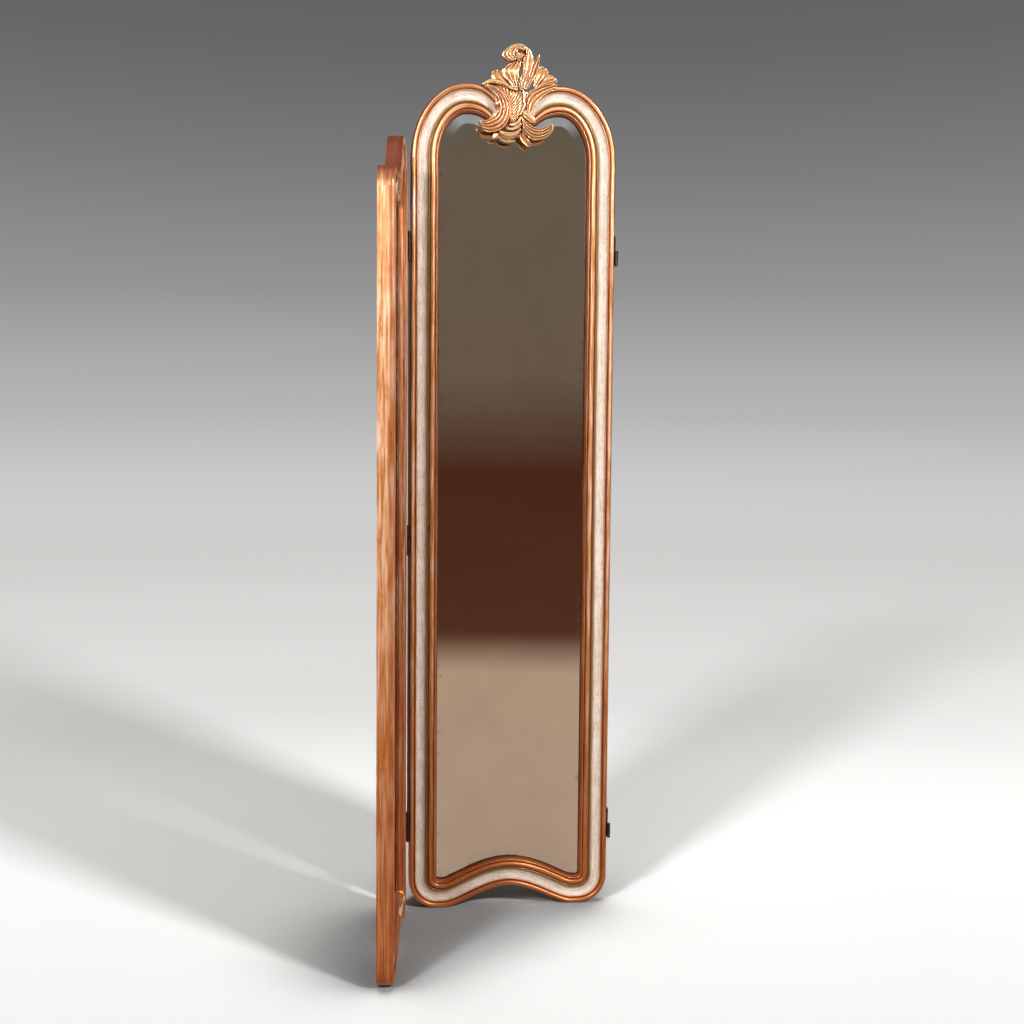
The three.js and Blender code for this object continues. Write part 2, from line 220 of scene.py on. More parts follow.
def wing_top():
    base = WING_HIGH - WING_B
    r = 40.0
    fall = curve((-300, WING_LOW), (-225, WING_LOW), (-185, WING_HIGH), (-WING_A, WING_HIGH), 34)
    free = corner(-PANEL_W + r, WING_LOW - r, r, 180, 90, (1, -1))
    free[:, 1] += np.array([FRAME_W - r, -(FRAME_W - r)])
    arch = stations(
        arc(-WING_A, base, WING_A, WING_B, 90, 0, 34),
        arc(-WING_A, base, WING_A - FRAME_W, WING_B - FRAME_W, 90, 0, 34))
    sight = inset(fall, FRAME_W)
    sight[-1] = (-WING_A, WING_HIGH - FRAME_W)
    return joined(free, stations(fall, sight), arch)


def wing_bottom():
    hinge_r, free_r = 58.0, 46.0
    hx = WING_HUMP_X
    rise = curve((-72, 0), (-112, 0), (-149, WING_HUMP), (hx, WING_HUMP), 22)
    drop = curve((hx, WING_HUMP), (-257, WING_HUMP), (-288, 0), (-358, 0), 26)
    rise_sight = curve((-68, 60), (-92, 60), (-139, 60 + WING_HUMP), (hx, 60 + WING_HUMP), 22)
    drop_sight = inset(drop, FRAME_W)
    drop_sight[0] = (hx, 60 + WING_HUMP)
    hinge = corner(-hinge_r, hinge_r, hinge_r, 0, -90, (-1, 1))
    hinge[:, 1] += np.array([hinge_r - FRAME_W, FRAME_W - hinge_r])
    free = corner(-PANEL_W + free_r, free_r, free_r, 270, 180, (1, 1))
    free[:, 1] += np.array([FRAME_W - free_r, FRAME_W - free_r])
    return joined(hinge, stations(rise, rise_sight), stations(drop, drop_sight), free)


def straight(a, b):
    n = max(2, int(np.linalg.norm(b[0] - a[0]) / STEP))
    t = np.linspace(0, 1, n + 1)[:, None, None]
    return a + (b - a) * t


# ------------------------------------------------------------------ moulding section
def bead(w0, y0, crest_w, crest_y, w1, y1, n=5):
    """Round bead from (w0, y0) over its crest to (w1, y1), as two quarter ellipses."""
    rise = [(crest_w - (crest_w - w0) * math.cos(a), y0 + (crest_y - y0) * math.sin(a))
            for a in np.linspace(0, math.pi / 2, n + 1)]
    fall = [(crest_w + (w1 - crest_w) * math.sin(a), y1 + (crest_y - y1) * math.cos(a))
            for a in np.linspace(0, math.pi / 2, n + 1)]
    return rise + fall[1:]


def cove(w0, w1, y, deep, n=14):
    return [(w0 + (w1 - w0) * t, y + deep * math.sin(math.pi * t) ** 0.8)
            for t in np.linspace(0, 1, n + 1)]


FLANK_Y = 20.0            # where the flank meets the bare wood of the back
BEAD_Y = 8.0              # where the edge bead springs from the flank
EDGE_BEAD_END = 10.6
COVE = (14.4, 36.8)
INNER_BEAD = (41.0, 51.8)
FRONT = (
    [(0, FLANK_Y)]
    + bead(0, BEAD_Y, 5.2, 0.0, EDGE_BEAD_END, 4.4, 7)
    + [(11.3, 5.5)]
    + bead(11.9, 5.2, 13.1, 4.2, COVE[0], 5.2, 3)
    + cove(*COVE, 5.2, 5.4)[1:]
    + bead(COVE[1], 5.2, 37.9, 4.3, 39.2, 5.6, 3)[1:]
    + [(40.2, 7.2)]
    + bead(INNER_BEAD[0], 6.8, 46.6, 1.3, INNER_BEAD[1], 6.2, 7)
    + [(52.3, 7.4)]
    + bead(52.8, 7.2, 54.2, 6.2, 56.0, 8.6, 4)
    + [(57.4, 10.9), (58.6, 13.0), (59.5, 14.6), (FRAME_W, 16.2), (FRAME_W, LIP_Y)]
)
# unevenness of a hand-run moulding: size, length and start of each wave along it
HAND_WAVES = ((0.16, 23.0, 0.0), (0.12, 9.1, 1.7), (0.1, 51.0, 0.0))
HIDDEN = [(FRAME_W - REBATE_W, LIP_Y), (FRAME_W - REBATE_W, DEPTH), (0, DEPTH)]


class Moulding:
    """The moulding all the way round a panel, cut into its rails and stiles when asked."""

    def __init__(self, top, bottom, place):
        left = straight(bottom[-1], top[0])
        right = straight(top[-1], bottom[0])
        self.runs = {}
        loop, at = [], 0
        for key, run in (("top", top), ("right", right), ("bottom", bottom), ("left", left)):
            self.runs[key] = (at, at + len(run) - 1)
            loop.append(run[:-1])
            at += len(run) - 1
        self.line = np.concatenate(loop)
        middle = self.line.mean(1)
        step = np.linalg.norm(np.roll(middle, -1, 0) - middle, axis=1)
        self.run = np.concatenate([[0], np.cumsum(step)])
        self.place = place

    def station(self, i):
        return self.line[i % len(self.line)]

    def ring(self, i):
        """Section points of one station, slightly uneven, as hand-run mouldings are."""
        outer, inner = self.station(i)
        s = self.run[i % len(self.line)]
        wave = sum(size * math.sin(s / length + start) for size, length, start in HAND_WAVES)
        points = []
        for w, y in FRONT:
            x, z = outer + (inner - outer) * (w / FRAME_W)
            soft = wave * math.sin(math.pi * min(1.0, w / FRAME_W)) ** 0.5
            points.append(self.place(x, y + max(0.0, soft), z))
        for w, y in HIDDEN:
            x, z = outer + (inner - outer) * (w / FRAME_W)
            points.append(self.place(x, y, z))
        return points

    def piece(self, name, key, body, gilt, back):
        a, b = self.runs[key]
        k = len(FRONT) + len(HIDDEN)
        verts, uv = [], []
        across = [w for w, _ in FRONT] + [FRAME_W - REBATE_W, FRAME_W - REBATE_W, 0]
        across[0] = BEAD_Y - FLANK_Y
        across[-1] = BEAD_Y - DEPTH
        for i in range(a, b + 1):
            verts += self.ring(i)
            uv += [(self.run[i] * MM if i < len(self.run) else 0, w * MM) for w in across]
        faces, picks = [], []
        for i in range(b - a):
            for j in range(k):
                n = (j + 1) % k
                faces.append((i * k + j, (i + 1) * k + j, (i + 1) * k + n, i * k + n))
                picks.append(0 if j < len(FRONT) - 1 or j == k - 1 else 1)
        faces.append(tuple(range(k)))
        faces.append(tuple(range((b - a) * k, (b - a + 1) * k))[::-1])
        picks += [1, 1]
        ob = make_piece(name, verts, faces, body, [gilt, back], picks, 38)
        paint_uv(ob, uv)
        return ob


# ------------------------------------------------------------------ materials
class Paint:
    """A procedural material, written as expressions over its shader nodes."""

    def __init__(self, name):
        self.mat = bpy.data.materials.new(name)
        self.mat.use_nodes = True
        self.tree = self.mat.node_tree
        self.bsdf = self.tree.nodes["Principled BSDF"]

    def node(self, kind, **settings):
        n = self.tree.nodes.new(kind)
        for key, value in settings.items():
            setattr(n, key, value)
        return n

    def feed(self, socket, value):
        if isinstance(value, bpy.types.NodeSocket):
            self.tree.links.new(value, socket)
        elif isinstance(value, tuple) and len(value) == 3 and socket.type == "RGBA":
            socket.default_value = (*value, 1.0)
        else:
            socket.default_value = value

    def math(self, op, a, b=0.0):
        n = self.node("ShaderNodeMath", operation=op)
        self.feed(n.inputs[0], a)
        self.feed(n.inputs[1], b)
        return n.outputs[0]

    def times(self, a, b):
        return self.math("MULTIPLY", a, b)

    def plus(self, a, b):
        return self.math("ADD", a, b)

    def minus(self, a, b):
        return self.math("SUBTRACT", a, b)

    def more(self, a, b):
        return self.math("MAXIMUM", a, b)

    def object_space(self, scale=(1.0, 1.0, 1.0)):
        n = self.node("ShaderNodeTexCoord")
        m = self.node("ShaderNodeVectorMath", operation="MULTIPLY")
        self.feed(m.inputs[0], n.outputs["Object"])
        m.inputs[1].default_value = scale
        return m.outputs[0]

    def along(self, scale_u, scale_v):
        """Coordinates along and across the moulding, in metres times the scales."""
        n = self.node("ShaderNodeUVMap", uv_map="run")
        m = self.node("ShaderNodeVectorMath", operation="MULTIPLY")
        self.feed(m.inputs[0], n.outputs["UV"])
        m.inputs[1].default_value = (scale_u, scale_v, 1.0)
        return m.outputs[0]

    def across(self):
        n = self.node("ShaderNodeUVMap", uv_map="run")
        s = self.node("ShaderNodeSeparateXYZ")
        self.feed(s.inputs[0], n.outputs["UV"])
        return s.outputs[1]

    def noise(self, vector, scale=1.0, detail=4.0, rough=0.55, warp=0.0):
        n = self.node("ShaderNodeTexNoise")
        self.feed(n.inputs["Vector"], vector)
        n.inputs["Scale"].default_value = scale
        n.inputs["Detail"].default_value = detail
        n.inputs["Roughness"].default_value = rough
        n.inputs["Distortion"].default_value = warp
        return n.outputs["Fac"]

    def marks(self, scale_u, scale_v, detail, rough=0.55, warp=0.0):
        """Noise that follows the run of the moulding."""
        return self.noise(self.along(scale_u, scale_v), 1.0, detail, rough, warp)

    def height_up(self):
        """Height above the floor, in metres."""
        n = self.node("ShaderNodeSeparateXYZ")
        self.feed(n.inputs[0], self.object_space())
        return n.outputs[2]

    def rise(self, x, low, high, out_low=0.0, out_high=1.0):
        n = self.node("ShaderNodeMapRange", interpolation_type="SMOOTHSTEP")
        for i, v in enumerate((x, low, high, out_low, out_high)):
            self.feed(n.inputs[i], v)
        return n.outputs[0]

    def mix(self, fac, a, b):
        n = self.node("ShaderNodeMix", data_type="RGBA")
        self.feed(n.inputs[0], fac)
        self.feed(n.inputs[6], a)
        self.feed(n.inputs[7], b)
        return n.outputs[2]

    def band(self, x, low, high, soft):
        """1 between low and high, with soft edges."""
        inside = self.rise(x, low - soft, low + soft)
        return self.times(inside, self.rise(x, high - soft, high + soft, 1.0, 0.0))

    def bump(self, height, distance, strength=1.0):
        n = self.node("ShaderNodeBump")
        self.feed(n.inputs["Height"], height)
        n.inputs["Distance"].default_value = distance
        n.inputs["Strength"].default_value = strength
        self.feed(self.bsdf.inputs["Normal"], n.outputs[0])

    def surface(self, **values):
        for key, value in values.items():
            self.feed(self.bsdf.inputs[key.replace("_", " ").title()], value)
        return self.mat


GOLD_LIGHT = (1.0, 0.575, 0.33)
GOLD_DEEP = (0.64, 0.245, 0.062)
GOLD_PALE = (1.0, 0.78, 0.63)
BOLE = (0.36, 0.078, 0.026)
UMBER = (0.12, 0.034, 0.012)
CREAM = (0.77, 0.70, 0.64)
CREAM_GREY = (0.63, 0.545, 0.48)
CREAM_BROWN = (0.50, 0.385, 0.30)
GRAIN = (0.27, 0.155, 0.09)
OLIVE = (0.27, 0.165, 0.06)
TOP_RED, TOP_RED_DARK = (0.26, 0.040, 0.013), (0.17, 0.026, 0.009)
# places across the moulding, in metres from its outer edge
OUTER_CREST, INNER_CREST = 0.0056, 0.0464
QUIRKS = ((0.0107, 0.0120), (0.0518, 0.0529), (0.0586, 0.0600))
OLIVE_BAND = (0.0345, 0.0412)
CREAM_BAND = (0.0143, 0.0348)
# heights above the floor, in metres
LOW_SHADE_UP_TO = 0.95
RED_TOP_HEIGHTS = (1.485, 1.530)


def gilt_moulding_with_painted_shade():
    """Burnished bronze-gold beads over red bole, with a streaky off-white cove between them. Painted shade
    darkens the bead sides, the quirks, the cove's edges and the feet.
    """
    p = Paint("gilt_and_painted_moulding_with_painted_shade")
    w = p.across()
    wobble = p.times(p.minus(p.marks(45, 10, 3), 0.5), 0.0012)
    v = p.plus(w, wobble)
    cloud = p.noise(p.object_space(), 14.0, 5)
    streak = p.marks(9, 230, 5, 0.56)
    fine = p.marks(160, 700, 3, 0.6)
    blotch = p.marks(20, 90, 5, 0.60, 0.4)
    tone = p.plus(p.times(streak, 0.72), p.times(cloud, 0.28))
    gold = p.mix(p.rise(tone, 0.38, 0.60), GOLD_DEEP, GOLD_LIGHT)
    gold = p.mix(p.rise(streak, 0.50, 0.66, 0.0, 0.7), gold, GOLD_PALE)
    gold = p.mix(p.rise(blotch, 0.46, 0.72, 0.0, 0.55), gold, GOLD_DEEP)
    # painted shade: the sides of the two big beads are redder and darker than their crests
    outer_side = p.rise(p.math("ABSOLUTE", p.minus(v, OUTER_CREST)), 0.0016, 0.0054)
    inner_side = p.rise(p.math("ABSOLUTE", p.minus(v, INNER_CREST)), 0.0020, 0.0056)
    painted_shade_on_bead_sides = p.times(outer_side, p.times(inner_side, 0.6))
    painted_shade_on_bead_sides = p.times(painted_shade_on_bead_sides, p.rise(w, -0.004, 0.001))
    gold = p.mix(painted_shade_on_bead_sides, gold, BOLE)
    # bole shows as rubbed streaks and patches, mostly on the flank
    flank = p.rise(w, -0.020, 0.001, 1.0, 0.0)
    rub = p.rise(p.marks(10, 190, 5, 0.60), 0.52, 0.74)
    rub = p.times(rub, p.plus(0.40, p.times(flank, 0.25)))
    patch = p.times(p.rise(blotch, 0.54, 0.72, 0.0, 0.45), p.plus(0.3, flank))
    rub = p.more(rub, patch)
    gold = p.mix(rub, gold, BOLE)
    # painted shade: the gilding is duller, darker and redder toward the feet
    z = p.height_up()
    low_painted_shade = p.rise(z, 0.0, LOW_SHADE_UP_TO, 0.95, 0.0)
    gold = p.mix(low_painted_shade, gold, p.mix(p.rise(streak, 0.30, 0.78), BOLE, GOLD_DEEP))
    # and the flanks of the rounded tops are dark red
    top = p.rise(p.plus(z, p.times(blotch, 0.05)), *RED_TOP_HEIGHTS, 0.0, 0.92)
    dark_red_top = p.times(p.rise(w, 0.0015, 0.0050, 1.0, 0.0), top)
    gold = p.mix(dark_red_top, gold, p.mix(p.rise(cloud, 0.3, 0.7), TOP_RED, TOP_RED_DARK))
    # painted shade and glaze: quirks between the members are dark red-brown, and the band round the one
    # inside the cove is olive
    quirks = None
    for low, high in QUIRKS:
        here = p.band(v, low, high, 0.0005)
        quirks = here if quirks is None else p.more(quirks, here)
    gold = p.mix(p.times(quirks, 0.8), gold, UMBER)
    gold = p.mix(p.band(v, *OLIVE_BAND, 0.0007), gold, OLIVE)
    cream = p.mix(p.rise(cloud, 0.3, 0.7), CREAM, CREAM_GREY)
    wash = p.rise(p.marks(20, 200, 5, 0.66), 0.42, 0.66, 0.0, 0.8)
    wash = p.times(wash, p.rise(v, 0.015, 0.034, 0.45, 1.0))
    cream = p.mix(wash, cream, CREAM_BROWN)
    grain = p.rise(p.marks(40, 300, 5, 0.72), 0.48, 0.70)
    specks = p.rise(p.marks(120, 330, 3, 0.6), 0.54, 0.74)
    worn = p.more(p.times(grain, 0.55), p.times(specks, 0.75))
    cream = p.mix(worn, cream, GRAIN)
    # dirt and painted shade: the cove darkens toward its edges beside the beads, most on its inner side
    dirt_and_painted_shade = p.plus(p.rise(v, 0.0142, 0.0175, 0.6, 0.0), p.rise(v, 0.0290, 0.0350, 0.0, 0.9))
    cream = p.mix(p.times(dirt_and_painted_shade, p.rise(streak, 0.3, 0.6, 0.45, 1.0)), cream, GRAIN)
    cove_mask = p.band(v, *CREAM_BAND, 0.0006)
    colour = p.mix(cove_mask, gold, cream)
    metal = p.times(p.minus(1.0, cove_mask),
                   p.minus(0.56, p.times(rub, 0.25)))
    rough = p.plus(p.rise(streak, 0.3, 0.7, 0.26, 0.38), p.times(cove_mask, 0.32))
    height = p.plus(p.times(fine, 0.05), p.times(streak, 0.95))
    p.bump(height, 0.00008, 0.5)
    return p.surface(base_color=colour, metallic=metal, roughness=rough)


CARVED_GOLD, CARVED_GOLD_DEEP, CARVED_HIGHLIGHT = (1.0, 0.63, 0.30), (0.88, 0.43, 0.16), (1.0, 0.82, 0.58)
HOLLOW_SHADE, HOLLOW_SHADE_DEEP = (0.36, 0.098, 0.028), (0.10, 0.025, 0.008)


def carved_gilt_and_painted_shade():
    """Gilding with a painted highlight on the ridges and painted shade, red-brown to umber, in the hollows.
    """
    p = Paint("carved_gilt_with_painted_shade")
    # the run map of the carving holds its relief in metres: u over a fine and v over a broad scale
    relief = p.node("ShaderNodeSeparateXYZ")
    p.feed(relief.inputs[0], p.along(1.0, 1.0))
    ridge = p.rise(relief.outputs[0], -0.00026, 0.00004)
    form = p.rise(relief.outputs[1], -0.0016, 0.0002)
    cloud = p.noise(p.object_space(), 60.0, 5)
    brush = p.noise(p.object_space((1.0, 1.0, 0.35)), 700.0, 3)
    # the ambient occlusion finds the hollows for the painted shade below
    shade = p.node("ShaderNodeAmbientOcclusion", samples=8)
    shade.inputs["Distance"].default_value = 0.008
    open_air = p.rise(shade.outputs["AO"], 0.30, 0.90)
    gold = p.mix(p.rise(cloud, 0.35, 0.65), CARVED_GOLD, CARVED_GOLD_DEEP)
    # painted highlight: the ridges that stand out most are paler gold
    bright = p.times(p.rise(relief.outputs[0], 0.00002, 0.00016), 0.8)
    gold = p.mix(bright, gold, CARVED_HIGHLIGHT)
    # painted shade: away from the open ridges the gold turns red-brown, then umber in the deepest hollows
    lit = p.times(ridge, p.plus(0.45, p.times(form, 0.55)))
    deep = p.minus(1.0, p.times(lit, open_air))
    gold = p.mix(p.rise(deep, 0.10, 0.95), gold, HOLLOW_SHADE)
    gold = p.mix(p.rise(deep, 0.80, 1.0, 0.0, 0.8), gold, HOLLOW_SHADE_DEEP)
    rub = p.rise(p.noise(p.object_space(), 170.0, 4), 0.60, 0.70, 0.0, 0.4)
    gold = p.mix(rub, gold, BOLE)
    metal = p.minus(0.70, p.times(deep, 0.15))
    p.bump(p.plus(p.times(brush, 0.5), cloud), 0.0002, 0.6)
    rough = p.plus(p.rise(brush, 0.3, 0.7, 0.17, 0.27), p.times(deep, 0.16))
    return p.surface(base_color=gold, metallic=metal, roughness=rough)


def back_wood(name, along_axis):
    """Bare softwood behind, brushed over with a thin brown wash. The grain runs along one axis."""
    p = Paint(name)
    coarse, close = [9.0, 9.0, 9.0], [60.0, 60.0, 60.0]
    coarse[along_axis], close[along_axis] = 0.55, 2.2
    rings = p.noise(p.object_space(tuple(coarse)), 14.0, 6, 0.62, 0.8)
    fibre = p.noise(p.object_space(tuple(close)), 12.0, 4)
    wood = p.mix(p.rise(rings, 0.35, 0.65), (0.33, 0.19, 0.095), (0.17, 0.085, 0.038))
    wood = p.mix(p.rise(fibre, 0.5, 0.75, 0.0, 0.5), wood, (0.09, 0.04, 0.018))
    p.bump(p.plus(rings, fibre), 0.0005, 0.5)
    return p.surface(base_color=wood, roughness=p.rise(fibre, 0.3, 0.7, 0.6, 0.8))


def aged_mirror():
    """Silvered plate glass, faintly clouded, with small soft losses near its edge."""
    p = Paint("aged_mirror_silver")
    edge = p.rise(p.across(), 0.0, 0.014, 1.0, 0.0)
    cloud = p.noise(p.object_space(), 7.0, 5)
    spots = p.rise(p.noise(p.object_space(), 260.0, 3, 0.6), 0.68, 0.78)
    foxing = p.rise(p.noise(p.object_space(), 60.0, 4, 0.6), 0.52, 0.74)
    loss = p.more(p.times(foxing, p.times(edge, 0.5)),
                  p.times(spots, p.rise(cloud, 0.5, 0.75, 0.0, 0.35)))
    silver = p.mix(p.rise(cloud, 0.35, 0.7), (0.86, 0.85, 0.83), (0.79, 0.78, 0.76))
    silver = p.mix(loss, silver, (0.34, 0.30, 0.25))
    p.bump(p.noise(p.object_space(), 2.2, 1), 0.002, 0.05)
    return p.surface(base_color=silver, metallic=1.0,
                     roughness=p.plus(p.rise(cloud, 0.4, 0.8, 0.012, 0.04),
                                      p.times(loss, 0.35)))


def glass_edge():
    p = Paint("mirror_back_paint")
    mottle = p.noise(p.object_space(), 40.0, 5)
    return p.surface(base_color=p.mix(mottle, (0.10, 0.035, 0.02), (0.06, 0.03, 0.02)),
                     roughness=p.rise(mottle, 0.3, 0.7, 0.5, 0.7))


def backboard_ply():
    p = Paint("stained_backboard")
    figure = p.noise(p.object_space((5.0, 5.0, 0.4)), 9.0, 6, 0.6, 1.6)
    fibre = p.noise(p.object_space((80.0, 80.0, 3.0)), 10.0, 3)
    wood = p.mix(p.rise(figure, 0.35, 0.65), (0.40, 0.245, 0.125), (0.25, 0.135, 0.06))
    wood = p.mix(p.rise(fibre, 0.52, 0.72, 0.0, 0.55), wood, (0.14, 0.07, 0.03))
    p.bump(p.plus(figure, fibre), 0.0003, 0.5)
    return p.surface(base_color=wood, roughness=p.rise(figure, 0.3, 0.7, 0.55, 0.72))


def plain_beech():
    p = Paint("beech_dowel")
    fleck = p.noise(p.object_space((40.0, 40.0, 5.0)), 20.0, 4)
    p.bump(fleck, 0.0002, 0.5)
    return p.surface(base_color=p.mix(fleck, (0.52, 0.34, 0.19), (0.66, 0.47, 0.29)),
                     roughness=p.rise(fleck, 0.3, 0.7, 0.6, 0.75))


def dark_strip():
    # the strip between the hinges is a near-black brown wood
    p = Paint("near_black_packing_strip")
    grain = p.noise(p.object_space((90.0, 90.0, 4.0)), 9.0, 5)
    wood = p.mix(p.rise(grain, 0.35, 0.65), (0.075, 0.036, 0.014), (0.028, 0.013, 0.006))
    p.bump(grain, 0.0004, 0.5)
    return p.surface(base_color=wood, roughness=p.rise(grain, 0.3, 0.7, 0.5, 0.7))


def dark_iron():
    """Blackened steel with rubbed brown edges."""
    p = Paint("blackened_iron")
    patch = p.noise(p.object_space(), 130.0, 5)
    rust = p.rise(p.noise(p.object_space(), 420.0, 4), 0.58, 0.68, 0.0, 0.7)
    metal = p.mix(p.rise(patch, 0.35, 0.65), (0.030, 0.027, 0.026), (0.075, 0.065, 0.058))
    metal = p.mix(rust, metal, (0.10, 0.042, 0.02))
    p.bump(patch, 0.0003, 0.5)
    return p.surface(base_color=metal, metallic=p.minus(0.9, p.times(rust, 0.8)),
                     roughness=p.rise(patch, 0.3, 0.7, 0.32, 0.55))


def old_steel():
    p = Paint("old_screw_steel")
    patch = p.noise(p.object_space(), 500.0, 4)
    p.bump(patch, 0.0001, 0.4)
    return p.surface(base_color=p.mix(patch, (0.15, 0.13, 0.115), (0.34, 0.31, 0.28)), metallic=0.95,
                     roughness=p.rise(patch, 0.3, 0.7, 0.3, 0.5))


GILT = gilt_moulding_with_painted_shade()
CARVED = carved_gilt_and_painted_shade()
STILE_BACK = back_wood("washed_stile_wood", 2)
CENTRE_RAIL_BACK = back_wood("washed_centre_rail_wood", 0)
WING_RAIL_BACK = back_wood("washed_wing_rail_wood", 1)
MIRROR = aged_mirror()
GLASS_BACK = glass_edge()
PLY = backboard_ply()
BEECH = plain_beech()
STRIP = dark_strip()
IRON = dark_iron()
STEEL = old_steel()

# ------------------------------------------------------------------ frames
centre_moulding = Moulding(centre_top(), centre_bottom(), on_centre)
wing_moulding = Moulding(wing_top(), wing_bottom(), on_wing)
CENTRE_PARTS = {"top_rail": "top", "right_stile": "right",
                "bottom_rail": "bottom", "left_stile": "left"}
WING_PARTS = {"top_rail": "top", "hinge_stile": "right",
              "bottom_rail": "bottom", "free_stile": "left"}
for prefix, moulding, parts, body, rail_back in (
        ("centre", centre_moulding, CENTRE_PARTS, "centre_panel", CENTRE_RAIL_BACK),
        ("wing", wing_moulding, WING_PARTS, "left_wing", WING_RAIL_BACK)):
    for part, key in parts.items():
        back = rail_back if part.endswith("rail") else STILE_BACK
        ob = moulding.piece(f"{prefix}_{part}_moulding", key, body, GILT, back)
        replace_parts(ob, f"{prefix}_{part}")


# ------------------------------------------------------------------ mirrors
def offset_inside(points, distance):
    """The closed line moved inward, with its corners mitred. One point for each given point."""
    d = np.roll(points, -1, 0) - np.roll(points, 1, 0)
    d /= np.maximum(np.linalg.norm(d, axis=1), 1e-6)[:, None]
    moved = points + distance * np.stack([d[:, 1], -d[:, 0]], 1)
    gap = np.array([np.min(np.linalg.norm(points - q, axis=1)) for q in moved])
    good = gap > distance * 0.985
    n = len(points)
    keep = np.flatnonzero(good)
    nearest = [keep[np.argmin(np.minimum(abs(keep - i), n - abs(keep - i)))] for i in range(n)]
    return moved[nearest]


def mirror_glass(name, moulding, body, slot_node):
    edge_t = (FRAME_W - REBATE_W + GLASS_IN_REBATE) / FRAME_W
    line = moulding.line
    outer = line[:, 0] + (line[:, 1] - line[:, 0]) * edge_t
    sight = line[:, 1]
    bevel = offset_inside(sight, BEVEL_W)
    n = len(line)
    drop = BEVEL_DROP * (1 + (1 - edge_t) * FRAME_W / BEVEL_W)
    rings = [(outer, GLASS_Y + GLASS_T, 0.0), (outer, GLASS_Y + drop, 0.0),
             (sight, GLASS_Y + BEVEL_DROP, 0.0), (bevel, GLASS_Y, BEVEL_W)]
    verts = [moulding.place(x, y, z) for ring, y, _ in rings for x, z in ring]
    uv = [(0.0, v * MM) for ring, _, v in rings for _ in ring]
    faces, picks = [], []
    for r in range(len(rings) - 1):
        for i in range(n):
            j = (i + 1) % n
            faces.append((r * n + i, r * n + j, (r + 1) * n + j, (r + 1) * n + i))
            picks.append(0 if r else 1)
    faces.append(tuple(range(3 * n, 4 * n)))
    faces.append(tuple(range(n))[::-1])
    picks += [0, 1]
    ob = make_piece(name, verts, faces, body, [MIRROR, GLASS_BACK], picks, 0.4)
    paint_uv(ob, uv)
    bm = bmesh.new()
    bm.from_mesh(ob.data)
    bmesh.ops.dissolve_degenerate(bm, dist=1e-6, edges=bm.edges)
    bm.to_mesh(ob.data)
    bm.free()
    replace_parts(ob, slot_node)
    return ob


mirror_glass("centre_bevelled_mirror", centre_moulding, "centre_panel", "centre_mirror_glass")
mirror_glass("wing_bevelled_mirror", wing_moulding, "left_wing", "wing_mirror_glass")

# ------------------------------------------------------------------ carried-over CAD nodes
FINISHES = {"dowel": BEECH, "backboard": PLY, "packing_strip": STRIP, "screw": STEEL, "pin": STEEL,
            "leaf": IRON, "half_hinge": IRON, "carved_crest": CARVED}
for name, node in frame["nodes"].items():
    for ending, material in FINISHES.items():
        if name.endswith(ending):
            for place in node.material_slots:
                place.material = material


# ------------------------------------------------------------------ hinges, screws and panel pins
HINGE_L = 64.0
LEAF_T = 1.6
LEAF_BACK = 20.4          # how far a leaf runs back along the panel's edge
BARREL_R, BORE_R = 3.2, 1.65
HEAD_R, SCREW_L = 3.3, 15.0
KNUCKLE_GAP = 0.3
LEAF_START = 1.2          # front edge of a leaf, behind the bead crests
LEAF_CORNER = 2.6
HEAD_IN = 0.55            # the cone of a screw head starts this far under its top
HINGE_Z = (("top", 1407.0), ("middle", 796.0), ("bottom", 181.0))
HALF_HINGE_Z = (("top", 1407.0), ("bottom", 177.0))
# each screw of a leaf: name, height from the middle, place behind the bead crests, turn of its slot
LEAF_SCREWS = (("lower", -22.0, 9.5, 0.4), ("middle", 0.0, 14.5, 1.3), ("upper", 22.0, 9.5, 2.2))


